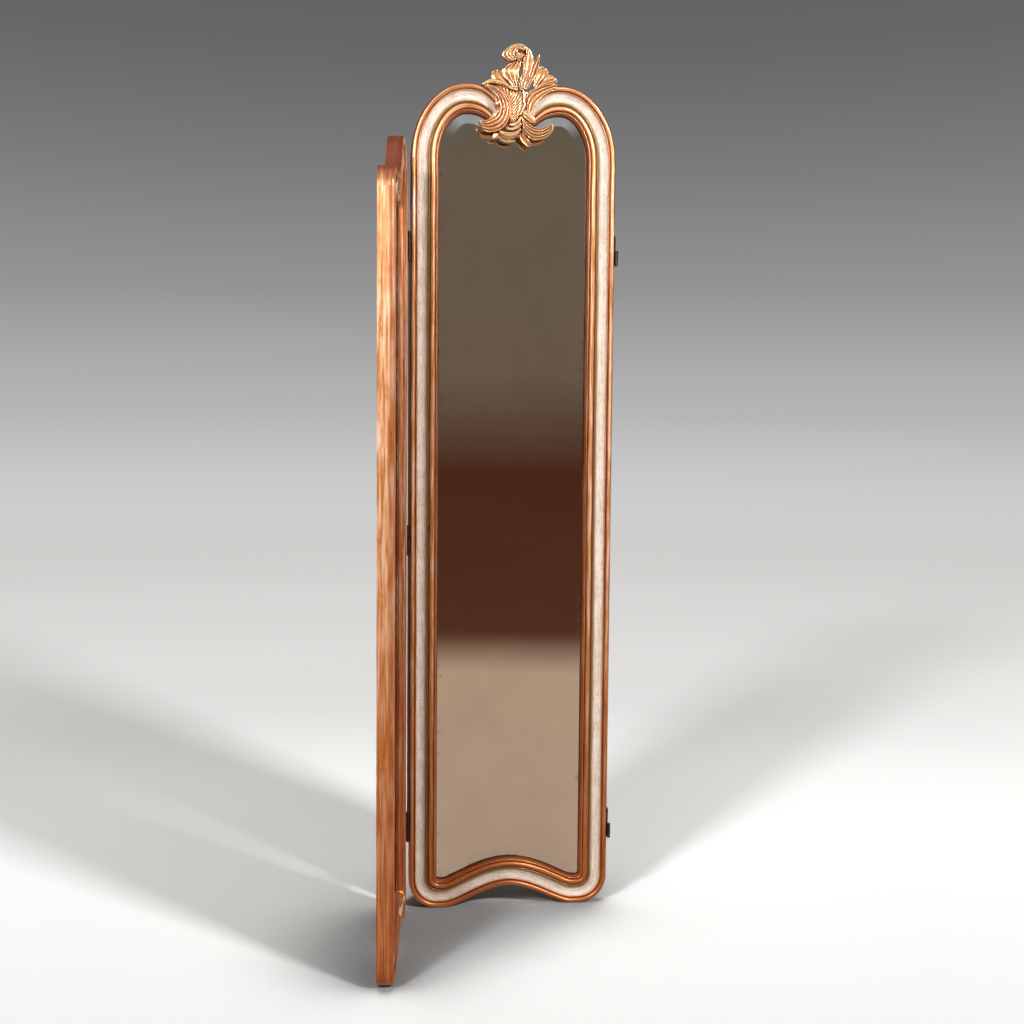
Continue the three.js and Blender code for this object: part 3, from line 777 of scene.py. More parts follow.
class Solids:
    """Closed solids gathered into one mesh. Points are in a panel's own millimetres."""

    def __init__(self):
        self.verts, self.faces = [], []

    def rings(self, rings):
        """A capped solid through closed rings of equal length."""
        base, n = len(self.verts), len(rings[0])
        for ring in rings:
            self.verts += [tuple(q) for q in ring]
        for i in range(len(rings) - 1):
            for j in range(n):
                k = (j + 1) % n
                self.faces.append((base + i * n + j, base + i * n + k,
                                   base + (i + 1) * n + k, base + (i + 1) * n + j))
        self.faces.append(tuple(range(base, base + n)))
        self.faces.append(tuple(range(base + (len(rings) - 1) * n, base + len(rings) * n))[::-1])

    def lathe(self, start, axis, profile, n=20):
        """profile is a list of (distance along the axis, radius)."""
        axis = Vector(axis).normalized()
        side = axis.orthogonal().normalized()
        other = axis.cross(side)
        turns = [2 * math.pi * i / n for i in range(n)]
        self.rings([[Vector(start) + axis * d + (side * math.cos(t) + other * math.sin(t)) * r
                     for t in turns] for d, r in profile])

    def slab(self, start, axis, outline, side, deep, soft=0.25):
        """An outline (along side, along the third axis) drawn out along the axis, edges eased."""
        axis, side = Vector(axis).normalized(), Vector(side).normalized()
        other = axis.cross(side)
        cx = sum(u for u, _ in outline) / len(outline)
        cy = sum(v for _, v in outline) / len(outline)
        rings = []
        for d, shrink in ((0, soft), (soft, 0), (deep - soft, 0), (deep, soft)):
            ring = []
            for u, v in outline:
                length = max(math.hypot(u - cx, v - cy), 0.01)
                k = 1 - shrink / length
                ring.append(Vector(start) + axis * d + side * (cx + (u - cx) * k)
                            + other * (cy + (v - cy) * k))
            rings.append(ring)
        self.rings(rings)

    def screw(self, start, axis, length, turn):
        """Countersunk screw with a slotted, slightly domed head and a threaded shank."""
        axis = Vector(axis).normalized()
        cone = [(0, HEAD_R - 0.1), (0.1, HEAD_R), (1.5, 1.7), (2.4, 1.6)]
        self.lathe(start + axis * HEAD_IN, axis, cone)
        side = axis.orthogonal().normalized()
        side = side * math.cos(turn) + axis.cross(side) * math.sin(turn)
        for flip in (1, -1):
            half = [(HEAD_R * math.cos(t), flip * HEAD_R * math.sin(t))
                    for t in np.linspace(0.14, math.pi - 0.14, 15)]
            self.slab(start, axis, half, side, 0.62, 0.18)
        thread, d = [(2.2, 1.25)], 2.6
        while d < length - 2.5:
            thread += [(d, 1.25), (d + 0.45, 1.65), (d + 0.9, 1.25)]
            d += 1.3
        self.lathe(start, axis, thread + [(length, 0.2)], 12)

    def piece(self, name, place, body, slot, material, sharp=30):
        return make_piece(name, [place(*q) for q in self.verts], self.faces, body,
                          [material], None, sharp)


def rounded_rect(u0, u1, v0, v1, r, n=5):
    out = []
    for cu, cv, start in ((u1 - r, v0 + r, -90), (u1 - r, v1 - r, 0), (u0 + r, v1 - r, 90),
                          (u0 + r, v0 + r, 180)):
        out += [(cu + r * math.cos(math.radians(start + 90 * i / n)),
                 cv + r * math.sin(math.radians(start + 90 * i / n))) for i in range(n + 1)]
    return out


def hinge_half(name, place, body, leaf_x, inward, pin_x, z, upper):
    """Leaf let into the panel's edge, its rolled knuckle, and its three screws."""
    iron = Solids()
    low, high = z - HINGE_L / 2, z + HINGE_L / 2
    k0, k1 = (z + KNUCKLE_GAP / 2, high) if upper else (low, z - KNUCKLE_GAP / 2)
    plate = rounded_rect(LEAF_START, LEAF_BACK, low, high, LEAF_CORNER)
    rings = []
    for d, shrink in ((0, 0.3), (0.3, 0), (LEAF_T, 0)):
        x = leaf_x + inward * d
        rings.append([(x, min(max(y, LEAF_START + shrink), LEAF_BACK - shrink),
                       min(max(q, low + shrink), high - shrink)) for y, q in plate])
    iron.rings(rings)
    # the rolled knuckle: a thick ring, open at its seam, standing on the leaf's neck
    turns = np.radians(np.linspace(100, 440, 40))
    rings = []
    for q, ease in ((k0, 0.35), (k0 + 0.35, 0), (k1 - 0.35, 0), (k1, 0.35)):
        outside, inside = BARREL_R - ease, BORE_R + ease / 3
        outer = [(pin_x + outside * math.cos(t), -PIN_FRONT + outside * math.sin(t), q) for t in turns]
        inner = [(pin_x + inside * math.cos(t), -PIN_FRONT + inside * math.sin(t), q) for t in turns[::-1]]
        rings.append(outer + inner)
    iron.rings(rings)
    a, b = sorted((leaf_x + inward * 0.05, leaf_x + inward * LEAF_T))
    neck = [(a, -PIN_FRONT + BORE_R + 0.2), (b, -PIN_FRONT + BORE_R + 0.2), (b, 3.0), (a, 3.0)]
    iron.rings([[(x, y, q) for x, y in neck] for q in (k0 + 0.2, k1 - 0.2)])
    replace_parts(iron.piece(f"{name}_rolled", place, body, "hinge", IRON), name)
    for which, dz, y, turn in LEAF_SCREWS:
        steel = Solids()
        start = Vector((leaf_x - inward * 0.1, y, z + dz))
        steel.screw(start, (inward, 0, 0), SCREW_L, turn)
        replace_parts(steel.piece(f"{name}_{which}_slotted_screw", place, body, "steel", STEEL),
                    f"{name}_{which}_screw")


CENTRE_LEAF_X = -PANEL_W / 2 - 3.5
WING_LEAF_X = 0.1
RIGHT_LEAF_X = PANEL_W / 2 + 1.9
for title, z in HINGE_Z:
    hinge_half(f"{title}_hinge_centre_leaf", on_centre, "centre_panel", CENTRE_LEAF_X, 1,
               -PANEL_W / 2 - PIN_OUT, z, False)
    hinge_half(f"{title}_hinge_wing_leaf", on_wing, "left_wing", WING_LEAF_X, -1, PIN_OUT, z, True)
for title, z in HALF_HINGE_Z:
    hinge_half(f"{title}_right_half_hinge", on_centre, "centre_panel", RIGHT_LEAF_X, -1,
               PANEL_W / 2 + PIN_OUT, z, False)

CREST_SCREW_L = 40.0
for side in ("left", "right"):
    low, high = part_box(f"crest_{side}_screw")
    steel = Solids()
    middle = ((low.x + high.x) / 2 - CENTRE_X) / MM
    steel.screw(Vector((middle, DEPTH + 0.5, (low.z + high.z) / 2 / MM)), (0, -1, 0), CREST_SCREW_L,
                0.7)
    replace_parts(steel.piece(f"crest_{side}_slotted_screw", on_centre, "centre_panel", "steel", STEEL),
                f"crest_{side}_screw")

PIN_PITCH = 135.0         # spacing of the panel pins
PIN_REACH = 6.5           # how far a pin's head stands in over the board
PIN_PROFILE = [(0, 1.2), (0.35, 1.3), (0.6, 0.6), (1.0, 0.55), (9.0, 0.5)]
BOARD_BACK = 27.6


def panel_pins(name, moulding, body):
    """Thin headed pins round the rebate that hold the backboard in."""
    steel = Solids()
    total = moulding.run[-1]
    for d in np.arange(PIN_PITCH / 2, total, PIN_PITCH):
        i = int(np.searchsorted(moulding.run, d)) % len(moulding.line)
        outer, inner = moulding.line[i]
        inward = (inner - outer) / np.linalg.norm(inner - outer)
        wall = outer + (inner - outer) * (FRAME_W - REBATE_W) / FRAME_W
        start = wall + inward * PIN_REACH
        steel.lathe((start[0], BOARD_BACK + 1.5, start[1]), (-inward[0], 0.12, -inward[1]), PIN_PROFILE, 10)
    return steel.piece(name, moulding.place, body, "steel", STEEL)


panel_pins("centre_panel_pins", centre_moulding, "centre_panel")
panel_pins("wing_panel_pins", wing_moulding, "left_wing")

for name in ("centre_backboard", "wing_backboard", "hinge_packing_strip"):
    ease = frame["nodes"][name].modifiers.new("eased_edges", "BEVEL")
    ease.width = 0.5 * MM
    ease.segments = 2
    ease.limit_method = "ANGLE"

# ------------------------------------------------------------------ carved crest
# Each leaf has a left and a right edge, as (x, z, height proud of the bead crests), and is laid
# between them. crown swells its middle, or dishes it if negative. flutes are channels along it
# and ribs are channels across it, groove deep. back is how far its cut sides run behind the
# bead crests. The x and z values are not chosen by hand: a separate program printed them, from
# positions marked on an enlarged picture. report.md says how. All the other values are given
# one by one.
LEAVES = [
    ("stem", dict(crown=1.5, flutes=2, groove=2.2, back=10),
     [(5, 1734, 14), (9, 1752, 15), (15, 1771, 15), (14, 1783, 16), (16, 1793, 18),
      (21, 1803, 19), (19, 1812, 20), (11, 1816, 21)],
     [(16, 1732, 13), (23, 1753, 13), (31, 1772, 12), (36, 1785, 12), (36, 1795, 13),
      (32, 1806, 14), (25, 1816, 15), (12, 1823, 16)]),
    ("curl", dict(crown=4, flutes=4, groove=2.2, back=8),
     [(14, 1806, 20), (11, 1810, 23), (7, 1811, 25), (3, 1809, 26), (1, 1805, 26), (0, 1801, 25),
      (1, 1797, 24), (4, 1795, 23)],
     [(23, 1816, 17), (10, 1823, 16), (-5, 1822, 14), (-15, 1817, 12), (-24, 1809, 11),
      (-29, 1800, 10), (-19, 1791, 13), (-6, 1785, 15)]),
    ("neck", dict(crown=1, flutes=1, groove=0, back=10),
     [(-15, 1758, 5), (-18, 1770, 6), (-14, 1780, 7), (-2, 1788, 9)],
     [(-1, 1758, 6), (-1, 1768, 7), (9, 1779, 8), (25, 1793, 10)]),
    ("petal", dict(crown=1, flutes=3, groove=2.6, back=10),
     [(-2, 1731, 15), (-10, 1745, 14), (-20, 1757, 13), (-26, 1768, 11), (-22, 1776, 11),
      (-13, 1783, 12), (-4, 1788, 13)],
     [(4, 1733, 16), (4, 1746, 16), (5, 1758, 16), (6, 1770, 16), (9, 1779, 16), (10, 1785, 16),
      (9, 1791, 16)]),
    ("leaflet", dict(crown=0.5, flutes=2, groove=2.0, back=9),
     [(16, 1733, 13), (25, 1753, 13), (31, 1772, 12), (36, 1785, 13), (44, 1798, 17),
      (47, 1803, 19)],
     [(23, 1732, 12), (35, 1749, 11), (42, 1765, 11), (47, 1778, 12), (49, 1794, 16),
      (49, 1802, 18)]),
    ("right_lobe", dict(crown=3, flutes=3, groove=1.6, back=9),
     [(37, 1737, 9), (38, 1752, 10), (41, 1765, 12), (44, 1775, 15), (49, 1779, 16)],
     [(43, 1736, 9), (56, 1749, 9), (67, 1758, 10), (67, 1770, 12), (58, 1779, 15)]),
    ("right_tip", dict(crown=3, flutes=3, groove=1.4, back=8),
     [(35, 1734, 8), (55, 1749, 10), (67, 1761, 12), (75, 1762, 13), (82, 1756, 13)],
     [(40, 1731, 8), (62, 1742, 9), (78, 1745, 9), (86, 1749, 11), (88, 1752, 12)]),
    ("right_strap", dict(crown=2.5, flutes=3, groove=2.6, back=2),
     [(87, 1750, 8), (64, 1744, 9), (44, 1736, 11), (29, 1728, 13), (22, 1717, 13),
      (19, 1704, 12), (19, 1692, 11), (21, 1683, 11)],
     [(86, 1737, 2), (70, 1729, 3), (57, 1720, 4), (47, 1709, 5), (39, 1698, 6), (35, 1690, 6),
      (33, 1685, 7), (31, 1681, 8)]),
    ("left_lobe", dict(crown=-2, flutes=2, groove=1.0, back=9),
     [(-11, 1735, 10), (-31, 1742, 10), (-46, 1750, 9), (-51, 1759, 10), (-48, 1767, 12),
      (-40, 1770, 14)],
     [(-4, 1736, 12), (-13, 1750, 12), (-20, 1757, 12), (-26, 1762, 12), (-30, 1766, 13),
      (-36, 1769, 14)]),
    ("left_strap", dict(crown=2.0, flutes=2, groove=1.0, back=6),
     [(-71, 1741, 9), (-53, 1751, 11), (-40, 1750, 12), (-23, 1745, 13), (-7, 1734, 15),
      (5, 1731, 17)],
     [(-68, 1739, 8), (-50, 1743, 10), (-36, 1742, 11), (-22, 1739, 12), (-9, 1731, 14),
      (3, 1728, 16)]),
    ("shell", dict(crown=-7, ribs=17, groove=1.5, slant=0.3, back=2),
     [(-62, 1741, 11), (-44, 1735, 13), (-31, 1725, 15), (-22, 1714, 17), (-15, 1704, 18),
      (-13, 1688, 19), (-12, 1673, 20), (-13, 1661, 20)],
     [(-50, 1744, 10), (-32, 1744, 11), (-15, 1739, 12), (5, 1730, 13), (15, 1722, 14),
      (17, 1708, 15), (15, 1695, 16), (8, 1680, 17), (-2, 1666, 19), (-11, 1659, 20)]),
    ("shell_rim", dict(crown=2.5, flutes=1, groove=0, back=4),
     [(5, 1731, 17), (13, 1728, 19), (15, 1717, 20), (14, 1707, 21), (16, 1698, 21),
      (12, 1689, 20), (8, 1679, 20)],
     [(8, 1734, 15), (16, 1729, 17), (21, 1718, 18), (19, 1707, 19), (21, 1698, 19),
      (16, 1688, 18), (11, 1677, 18)]),
    ("sweep", dict(crown=5, flutes=4, groove=3.2, back=0),
     [(-68, 1737, 8), (-56, 1731, 8), (-48, 1723, 9), (-43, 1714, 11), (-40, 1705, 13),
      (-38, 1695, 15), (-40, 1684, 18), (-50, 1673, 21), (-63, 1665, 22), (-77, 1664, 21)],
     [(-61, 1741, 11), (-42, 1735, 13), (-29, 1725, 16), (-18, 1713, 19), (-12, 1699, 21),
      (-11, 1683, 22), (-17, 1665, 24), (-28, 1650, 25), (-46, 1642, 24), (-67, 1645, 20),
      (-77, 1662, 20)]),
    ("tendril_a", dict(crown=2.5, flutes=1, groove=0, back=3),
     [(-32, 1711, 15), (-39, 1705, 16), (-46, 1703, 14)],
     [(-30, 1704, 15), (-36, 1698, 16), (-46, 1698, 14)]),
    ("tendril_b", dict(crown=2.5, flutes=2, groove=1.2, back=2),
     [(-25, 1704, 17), (-32, 1694, 17), (-41, 1685, 16), (-50, 1682, 15)],
     [(-22, 1697, 18), (-28, 1687, 18), (-37, 1680, 17), (-49, 1677, 15)]),
    ("tendril_c", dict(crown=2.5, flutes=1, groove=0, back=0),
     [(-50, 1681, 14), (-53, 1676, 15), (-55, 1668, 17)],
     [(-37, 1680, 16), (-40, 1673, 18), (-48, 1667, 20)]),
    ("bowl_low", dict(crown=5, flutes=2, groove=1.2, back=-3),
     [(-36, 1647, 20), (-24, 1643, 23), (-9, 1642, 24), (5, 1647, 23), (10, 1653, 21)],
     [(-35, 1640, 17), (-27, 1631, 17), (-14, 1628, 17), (0, 1633, 17), (11, 1648, 19)]),
    ("bowl_mid", dict(crown=3.5, flutes=2, groove=1.2, back=-2),
     [(-22, 1653, 20), (-11, 1651, 22), (2, 1656, 22), (11, 1665, 21)],
     [(-20, 1648, 19), (-9, 1644, 20), (5, 1649, 20), (12, 1658, 20)]),
    ("bowl_high", dict(crown=3, flutes=1, groove=0, back=-1),
     [(-14, 1660, 19), (-4, 1662, 20), (5, 1669, 20), (10, 1678, 19)],
     [(-15, 1656, 18), (-2, 1654, 19), (8, 1662, 19), (13, 1671, 19)]),
    ("bowl_rim", dict(crown=2.5, flutes=1, groove=0, back=-3),
     [(-38, 1637, 14), (-27, 1630, 14), (-14, 1627, 14), (1, 1629, 14)],
     [(-36, 1631, 11), (-26, 1624, 10), (-14, 1622, 10), (-1, 1625, 11)]),
    ("knob", dict(crown=3, flutes=2, groove=1.2, back=-3),
     [(-37, 1644, 17), (-46, 1638, 15), (-52, 1632, 12)],
     [(-32, 1635, 15), (-39, 1630, 13), (-49, 1629, 11)]),
    ("spike", dict(crown=-3, flutes=1, groove=0, back=-3),
     [(8, 1646, 15), (9, 1633, 13), (17, 1623, 11), (25, 1615, 9)],
     [(13, 1651, 18), (20, 1637, 16), (28, 1628, 14), (35, 1621, 12)]),
    ("scroll", dict(crown=5, flutes=4, groove=3.0, back=-3),
     [(13, 1681, 19), (18, 1668, 22), (29, 1658, 25), (44, 1652, 27), (60, 1655, 27),
      (69, 1660, 26), (76, 1663, 24)],
     [(12, 1658, 19), (16, 1646, 19), (26, 1635, 18), (39, 1629, 17), (58, 1632, 17),
      (73, 1642, 18), (80, 1655, 20), (77, 1663, 22)]),
    ("side_leaf", dict(crown=3, flutes=2, groove=1.6, back=-1),
     [(15, 1690, 18), (25, 1686, 20), (35, 1676, 21), (43, 1668, 20)],
     [(13, 1681, 18), (20, 1671, 20), (31, 1664, 20), (40, 1662, 18)]),
    ("curl_cup", dict(crown=-4, flutes=1, groove=0, back=9),
     [(13, 1780, 8), (11, 1793, 9), (9, 1802, 12), (12, 1811, 15)],
     [(35, 1782, 9), (33, 1795, 10), (30, 1805, 12), (24, 1816, 15)]),
    ("curl_eye", dict(crown=5, flutes=1, groove=0, back=6),
     [(-1, 1792, 20), (-2, 1796, 24), (-1, 1801, 26), (3, 1803, 25)],
     [(5, 1786, 18), (8, 1793, 22), (9, 1798, 24), (8, 1802, 24)]),
    ("petal_left", dict(crown=1.5, flutes=1, groove=0, back=9),
     [(-8, 1732, 12), (-15, 1746, 12), (-27, 1757, 10), (-32, 1764, 9), (-29, 1772, 10)],
     [(-2, 1733, 13), (-9, 1746, 13), (-18, 1757, 12), (-23, 1766, 11), (-22, 1774, 11)]),
    ("ground", dict(crown=4, flutes=1, groove=0, back=0),
     [(-22, 1728, 4), (-32, 1711, 3), (-32, 1693, 2), (-27, 1668, 5), (-22, 1651, 9)],
     [(29, 1730, 4), (26, 1714, 3), (24, 1696, 3), (18, 1673, 5), (12, 1651, 9)]),
]
CARVING_VOXEL = 0.7
END_ROUND = 4.0           # the cut ends narrow over this length
BACK_SHRINK = 0.8         # width of a leaf's back against its front
FINE_ROUNDS, BROAD_ROUNDS = 8, 70


def through(points, n):
    """n points on a smooth line through the given ones."""
    p = np.array(points, float)
    seg = np.linalg.norm(np.diff(p, axis=0), axis=1) ** 0.5
    knots = np.concatenate([[0], np.cumsum(seg)])
    ghost = np.vstack([2 * p[0] - p[1], p, 2 * p[-1] - p[-2]])
    gk = np.concatenate([[knots[0] - seg[0]], knots, [knots[-1] + seg[-1]]])
    out = []
    for t in np.linspace(knots[0], knots[-1], n):
        i = min(max(np.searchsorted(knots, t, side="right") - 1, 0), len(p) - 2)
        t0, t1, t2, t3 = gk[i:i + 4]
        a, b, c, d = ghost[i:i + 4]
        ab = (t1 - t) / (t1 - t0) * a + (t - t0) / (t1 - t0) * b
        bc = (t2 - t) / (t2 - t1) * b + (t - t1) / (t2 - t1) * c
        cd = (t3 - t) / (t3 - t2) * c + (t - t2) / (t3 - t2) * d
        abc = (t2 - t) / (t2 - t0) * ab + (t - t0) / (t2 - t0) * bc
        bcd = (t3 - t) / (t3 - t1) * bc + (t - t1) / (t3 - t1) * cd
        out.append((t2 - t) / (t2 - t1) * abc + (t - t1) / (t2 - t1) * bcd)
    return np.array(out)


def leaf_solid(left, right, crown=0.0, flutes=1, ribs=0, groove=0.0, slant=0.0, back=0.0):
    """One carved leaf as a closed solid, in the centre panel's own millimetres."""
    length = np.linalg.norm(np.diff(np.array(left, float), axis=0), axis=1).sum()
    nt = max(12, int(length / 1.0), ribs * 6)
    nu = max(10, flutes * 6, int(ribs * slant * 7) + 12 if ribs else 0)
    a, b = through(left, nt + 1), through(right, nt + 1)
    u = np.linspace(0, 1, nu + 1)
    t = np.linspace(0, 1, nt + 1)
    # the cut ends are rounded off: the leaf narrows over its last millimetres
    from_end = np.minimum(t, 1 - t) * length
    reach = 1 - np.clip(from_end / END_ROUND, 0, 1)
    keep = np.sqrt(np.maximum(1 - reach ** 2, 0.09))[:, None]
    a, b = (a + b) / 2 + (a - b) / 2 * keep, (a + b) / 2 + (b - a) / 2 * keep
    grid = a[:, None] * (1 - u)[None, :, None] + b[:, None] * u[None, :, None]
    width = np.linalg.norm((b - a)[:, :2], axis=1)[:, None]
    fade = np.minimum(1, width / 8.0)
    lift = crown * (1 - (2 * u - 1) ** 2)[None, :] * fade
    if groove:
        along_ribs = ribs * (t[:, None] + slant * u[None, :])
        phase = along_ribs if ribs else flutes * u[None, :] + 0 * t[:, None]
        channel = np.sin(np.pi * (phase % 1.0))
        if ribs:
            channel = channel * np.sin(np.pi * np.clip(u, 0.04, 0.96))[None, :] ** 0.5
        lift = lift - groove * channel * fade
    front = grid[..., 2] + lift
    x, z = grid[..., 0], grid[..., 1]
    verts = [on_centre(p, -h, q) for p, h, q in zip(x.ravel(), front.ravel(), z.ravel())]
    mid = grid.mean(axis=1, keepdims=True)
    bx = mid[..., 0] + (x - mid[..., 0]) * BACK_SHRINK
    bz = mid[..., 1] + (z - mid[..., 1]) * BACK_SHRINK
    verts += [on_centre(p, back, q) for p, q in zip(bx.ravel(), bz.ravel())]
    k = nu + 1
    m = (nt + 1) * k
    faces = []
    for i in range(nt):
        for j in range(nu):
            q = (i * k + j, i * k + j + 1, (i + 1) * k + j + 1, (i + 1) * k + j)
            faces.append(q)
            faces.append(tuple(m + v for v in reversed(q)))
    rim = [i * k for i in range(nt + 1)] + [nt * k + j for j in range(1, k)]
    rim += [i * k + nu for i in range(nt - 1, -1, -1)] + [j for j in range(nu - 1, 0, -1)]
    for a0, b0 in zip(rim, rim[1:] + rim[:1]):
        faces.append((a0, b0, m + b0, m + a0))
    return verts, faces


def relief_of(me, rounds):
    """How far each vertex stands out of the surface round it, averaged over so many rounds."""
    n = len(me.vertices)
    at = np.zeros(n * 3)
    me.vertices.foreach_get("co", at)
    at = at.reshape(n, 3)
    out = np.zeros(n * 3)
    me.vertices.foreach_get("normal", out)
    edges = np.zeros(len(me.edges) * 2, np.int32)
    me.edges.foreach_get("vertices", edges)
    a, b = edges.reshape(-1, 2).T
    count = np.maximum(np.bincount(a, minlength=n) + np.bincount(b, minlength=n), 1)[:, None]
    soft = at.copy()
    for _ in range(rounds):
        total = np.stack([np.bincount(a, soft[b, k], n) + np.bincount(b, soft[a, k], n)
                          for k in range(3)], 1)
        soft = total / count
    return ((at - soft) * out.reshape(n, 3)).sum(1)


def carved_crest():
    bm = bmesh.new()
    for _, shape, left, right in LEAVES:
        verts, faces = leaf_solid(left, right, **shape)
        new = [bm.verts.new(v) for v in verts]
        for f in faces:
            bm.faces.new([new[i] for i in f])
    bmesh.ops.recalc_face_normals(bm, faces=bm.faces)
    me = bpy.data.meshes.new("carved_leaf_crest")
    bm.to_mesh(me)
    bm.free()
    ob = bpy.data.objects.new("carved_leaf_crest", me)
    bpy.context.scene.collection.objects.link(ob)
    fuse = ob.modifiers.new("fuse", "REMESH")
    fuse.mode = "VOXEL"
    fuse.voxel_size = CARVING_VOXEL * MM
    ease = ob.modifiers.new("ease", "SMOOTH")
    ease.factor = 0.5
    ease.iterations = 2
    solid = bpy.data.meshes.new_from_object(ob.evaluated_get(bpy.context.evaluated_depsgraph_get()))
    ob.modifiers.clear()
    ob.data = solid
    solid.materials.clear()
    solid.materials.append(CARVED)
    solid.shade_smooth()
    paint_uv(ob, np.stack([relief_of(solid, FINE_ROUNDS), relief_of(solid, BROAD_ROUNDS)], 1))
    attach(ob, "centre_panel")
    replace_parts(ob, "carved_crest")
    return ob


carved_crest()

# ------------------------------------------------------------------ camera
CAMERA_FROM_CENTRE = Vector((-0.3759, -2.9833, 1.0854))   # from the front plane, on the floor
YAW, PITCH, ROLL = 7.20, 4.38, 0.49                       # degrees
LENS, SENSOR = 50.0, 36.0                                 # millimetres

yaw, pitch, roll = math.radians(YAW), math.radians(PITCH), math.radians(ROLL)
forward = Vector((math.sin(yaw) * math.cos(pitch), math.cos(yaw) * math.cos(pitch), -math.sin(pitch)))
level = Vector((math.cos(yaw), -math.sin(yaw), 0))
upward = level.cross(forward)
right = math.cos(roll) * level + math.sin(roll) * upward
up = math.cos(roll) * upward - math.sin(roll) * level
spot = Vector((CENTRE_X, FRONT_Y, 0)) + CAMERA_FROM_CENTRE
camera_data = bpy.data.cameras.new("camera")
camera_data.lens = LENS
camera_data.sensor_width = SENSOR
camera = bpy.data.objects.new("camera", camera_data)
bpy.context.scene.collection.objects.link(camera)
camera.matrix_world = Matrix((
    (right.x, up.x, -forward.x, spot.x),
    (right.y, up.y, -forward.y, spot.y),
    (right.z, up.z, -forward.z, spot.z),
    (0, 0, 0, 1)))
bpy.context.scene.camera = camera

# ------------------------------------------------------------------ floor, backdrop and light
STAGE_R = 9.0
FLOOR_FADE = 1.3          # the floor pales between this far before and this far behind the panel
PAINTED_SHADOW_REACH = 0.40      # how far the panels darken the floor round them
stage_only = bpy.data.collections.new("stage_only")


def set_stops(color_ramp, stops):
    """Stops are (place, grey) or (place, (red, green, blue))."""
    while len(color_ramp.elements) < len(stops):
        color_ramp.elements.new(0.5)
    for e, (at, tone) in zip(color_ramp.elements, stops):
        e.position = at
        e.color = (*tone, 1.0) if isinstance(tone, tuple) else (tone, tone, tone, 1.0)


def ramp(p, fac, stops):
    n = p.node("ShaderNodeValToRGB")
    p.feed(n.inputs[0], fac)
    set_stops(n.color_ramp, stops)
    return n.outputs[0]


def stage_mesh(name, verts, faces, material):
    me = bpy.data.meshes.new(name)
    me.from_pydata(verts, [], faces)
    me.materials.append(material)
    me.shade_smooth()
    ob = bpy.data.objects.new(name, me)
    bpy.context.scene.collection.objects.link(ob)
    ob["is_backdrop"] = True
    return ob


def disc_points(radius, z, n=96):
    return [(CENTRE_X + radius * math.cos(2 * math.pi * i / n),
             FRONT_Y + radius * math.sin(2 * math.pi * i / n), z) for i in range(n)]


def floor():
    """A matt pale floor that brightens and melts into the backdrop with distance, with a painted contact
    shadow round the panels.
    """
    p = Paint("pale_floor")
    y = p.node("ShaderNodeSeparateXYZ")
    p.feed(y.inputs[0], p.object_space())
    away = p.node("ShaderNodeVectorMath", operation="DISTANCE")
    p.feed(away.inputs[0], p.object_space())
    away.inputs[1].default_value = (CENTRE_X, FRONT_Y, 0)
    glow = ramp(p, p.math("DIVIDE", away.outputs["Value"], STAGE_R), FLOOR_GLOW)
    p.bsdf.inputs["Emission Strength"].default_value = 1.0
    painted_contact_shadow = p.node("ShaderNodeAmbientOcclusion", samples=16)
    painted_contact_shadow.inputs["Distance"].default_value = PAINTED_SHADOW_REACH
    pale = p.rise(y.outputs[1], FRONT_Y - FLOOR_FADE, FRONT_Y + FLOOR_FADE, 0.40, 0.85)
    # painted shadow: the floor's colour darkens round the panels
    pale = p.times(pale, p.rise(painted_contact_shadow.outputs["AO"], 0.55, 0.97, 0.32, 1.0))
    white = p.mix(pale, (0, 0, 0), FLOOR_WHITE)
    p.surface(base_color=white, roughness=0.9, emission_color=glow)
    p.bsdf.inputs["Specular IOR Level"].default_value = 0.0
    ob = stage_mesh("floor", disc_points(STAGE_R, -0.0005), [tuple(range(96))], p.mat)
    ob.visible_glossy = ob.visible_diffuse = False
    stage_only.objects.link(ob)
    return ob


def backdrop():
    p = Paint("graded_backdrop")
    tone = ramp(p, p.rise(p.height_up(), 0.0, 5.0), BACKDROP_TONES)
    glow = p.node("ShaderNodeEmission")
    p.feed(glow.inputs[0], tone)
    out = p.tree.nodes["Material Output"]
    p.tree.links.new(glow.outputs[0], out.inputs[0])
    n = 96
    heights = [-0.01, 1.0, 2.0, 3.5, 5.0, 9.0]
    verts = [v for h in heights for v in disc_points(STAGE_R, h, n)]
    faces = [(r * n + i, r * n + (i + 1) % n, (r + 1) * n + (i + 1) % n, (r + 1) * n + i)
             for r in range(len(heights) - 1) for i in range(n)]
    ob = stage_mesh("backdrop", verts, faces, p.mat)
    ob.visible_glossy = ob.visible_diffuse = ob.visible_shadow = False
    return ob


# tone of the backdrop against height, 0 on the floor and 1 at five metres (smoothstepped)
BACKDROP_TONES = [(0.0, 0.62), (0.10, 0.47), (0.35, 0.30), (0.65, 0.20), (0.90, 0.135), (1.0, 0.12)]
FLOOR_WHITE = (0.955, 0.985, 1.0)
# glow of the floor against distance, 0 at the panel and 1 at the backdrop
FLOOR_GLOW = [(0.0, 0.0), (0.10, 0.0), (0.23, 0.08), (0.36, 0.25), (0.55, 0.36), (0.8, 0.40),
              (1.0, 0.42)]
floor()
backdrop()


no_mirrors = bpy.data.collections.new("all_but_the_mirrors")
for title in ("centre_bevelled_mirror", "wing_bevelled_mirror"):
    no_mirrors.objects.link(bpy.data.objects[title])
for member in no_mirrors.collection_objects:
    member.light_linking.link_state = "EXCLUDE"


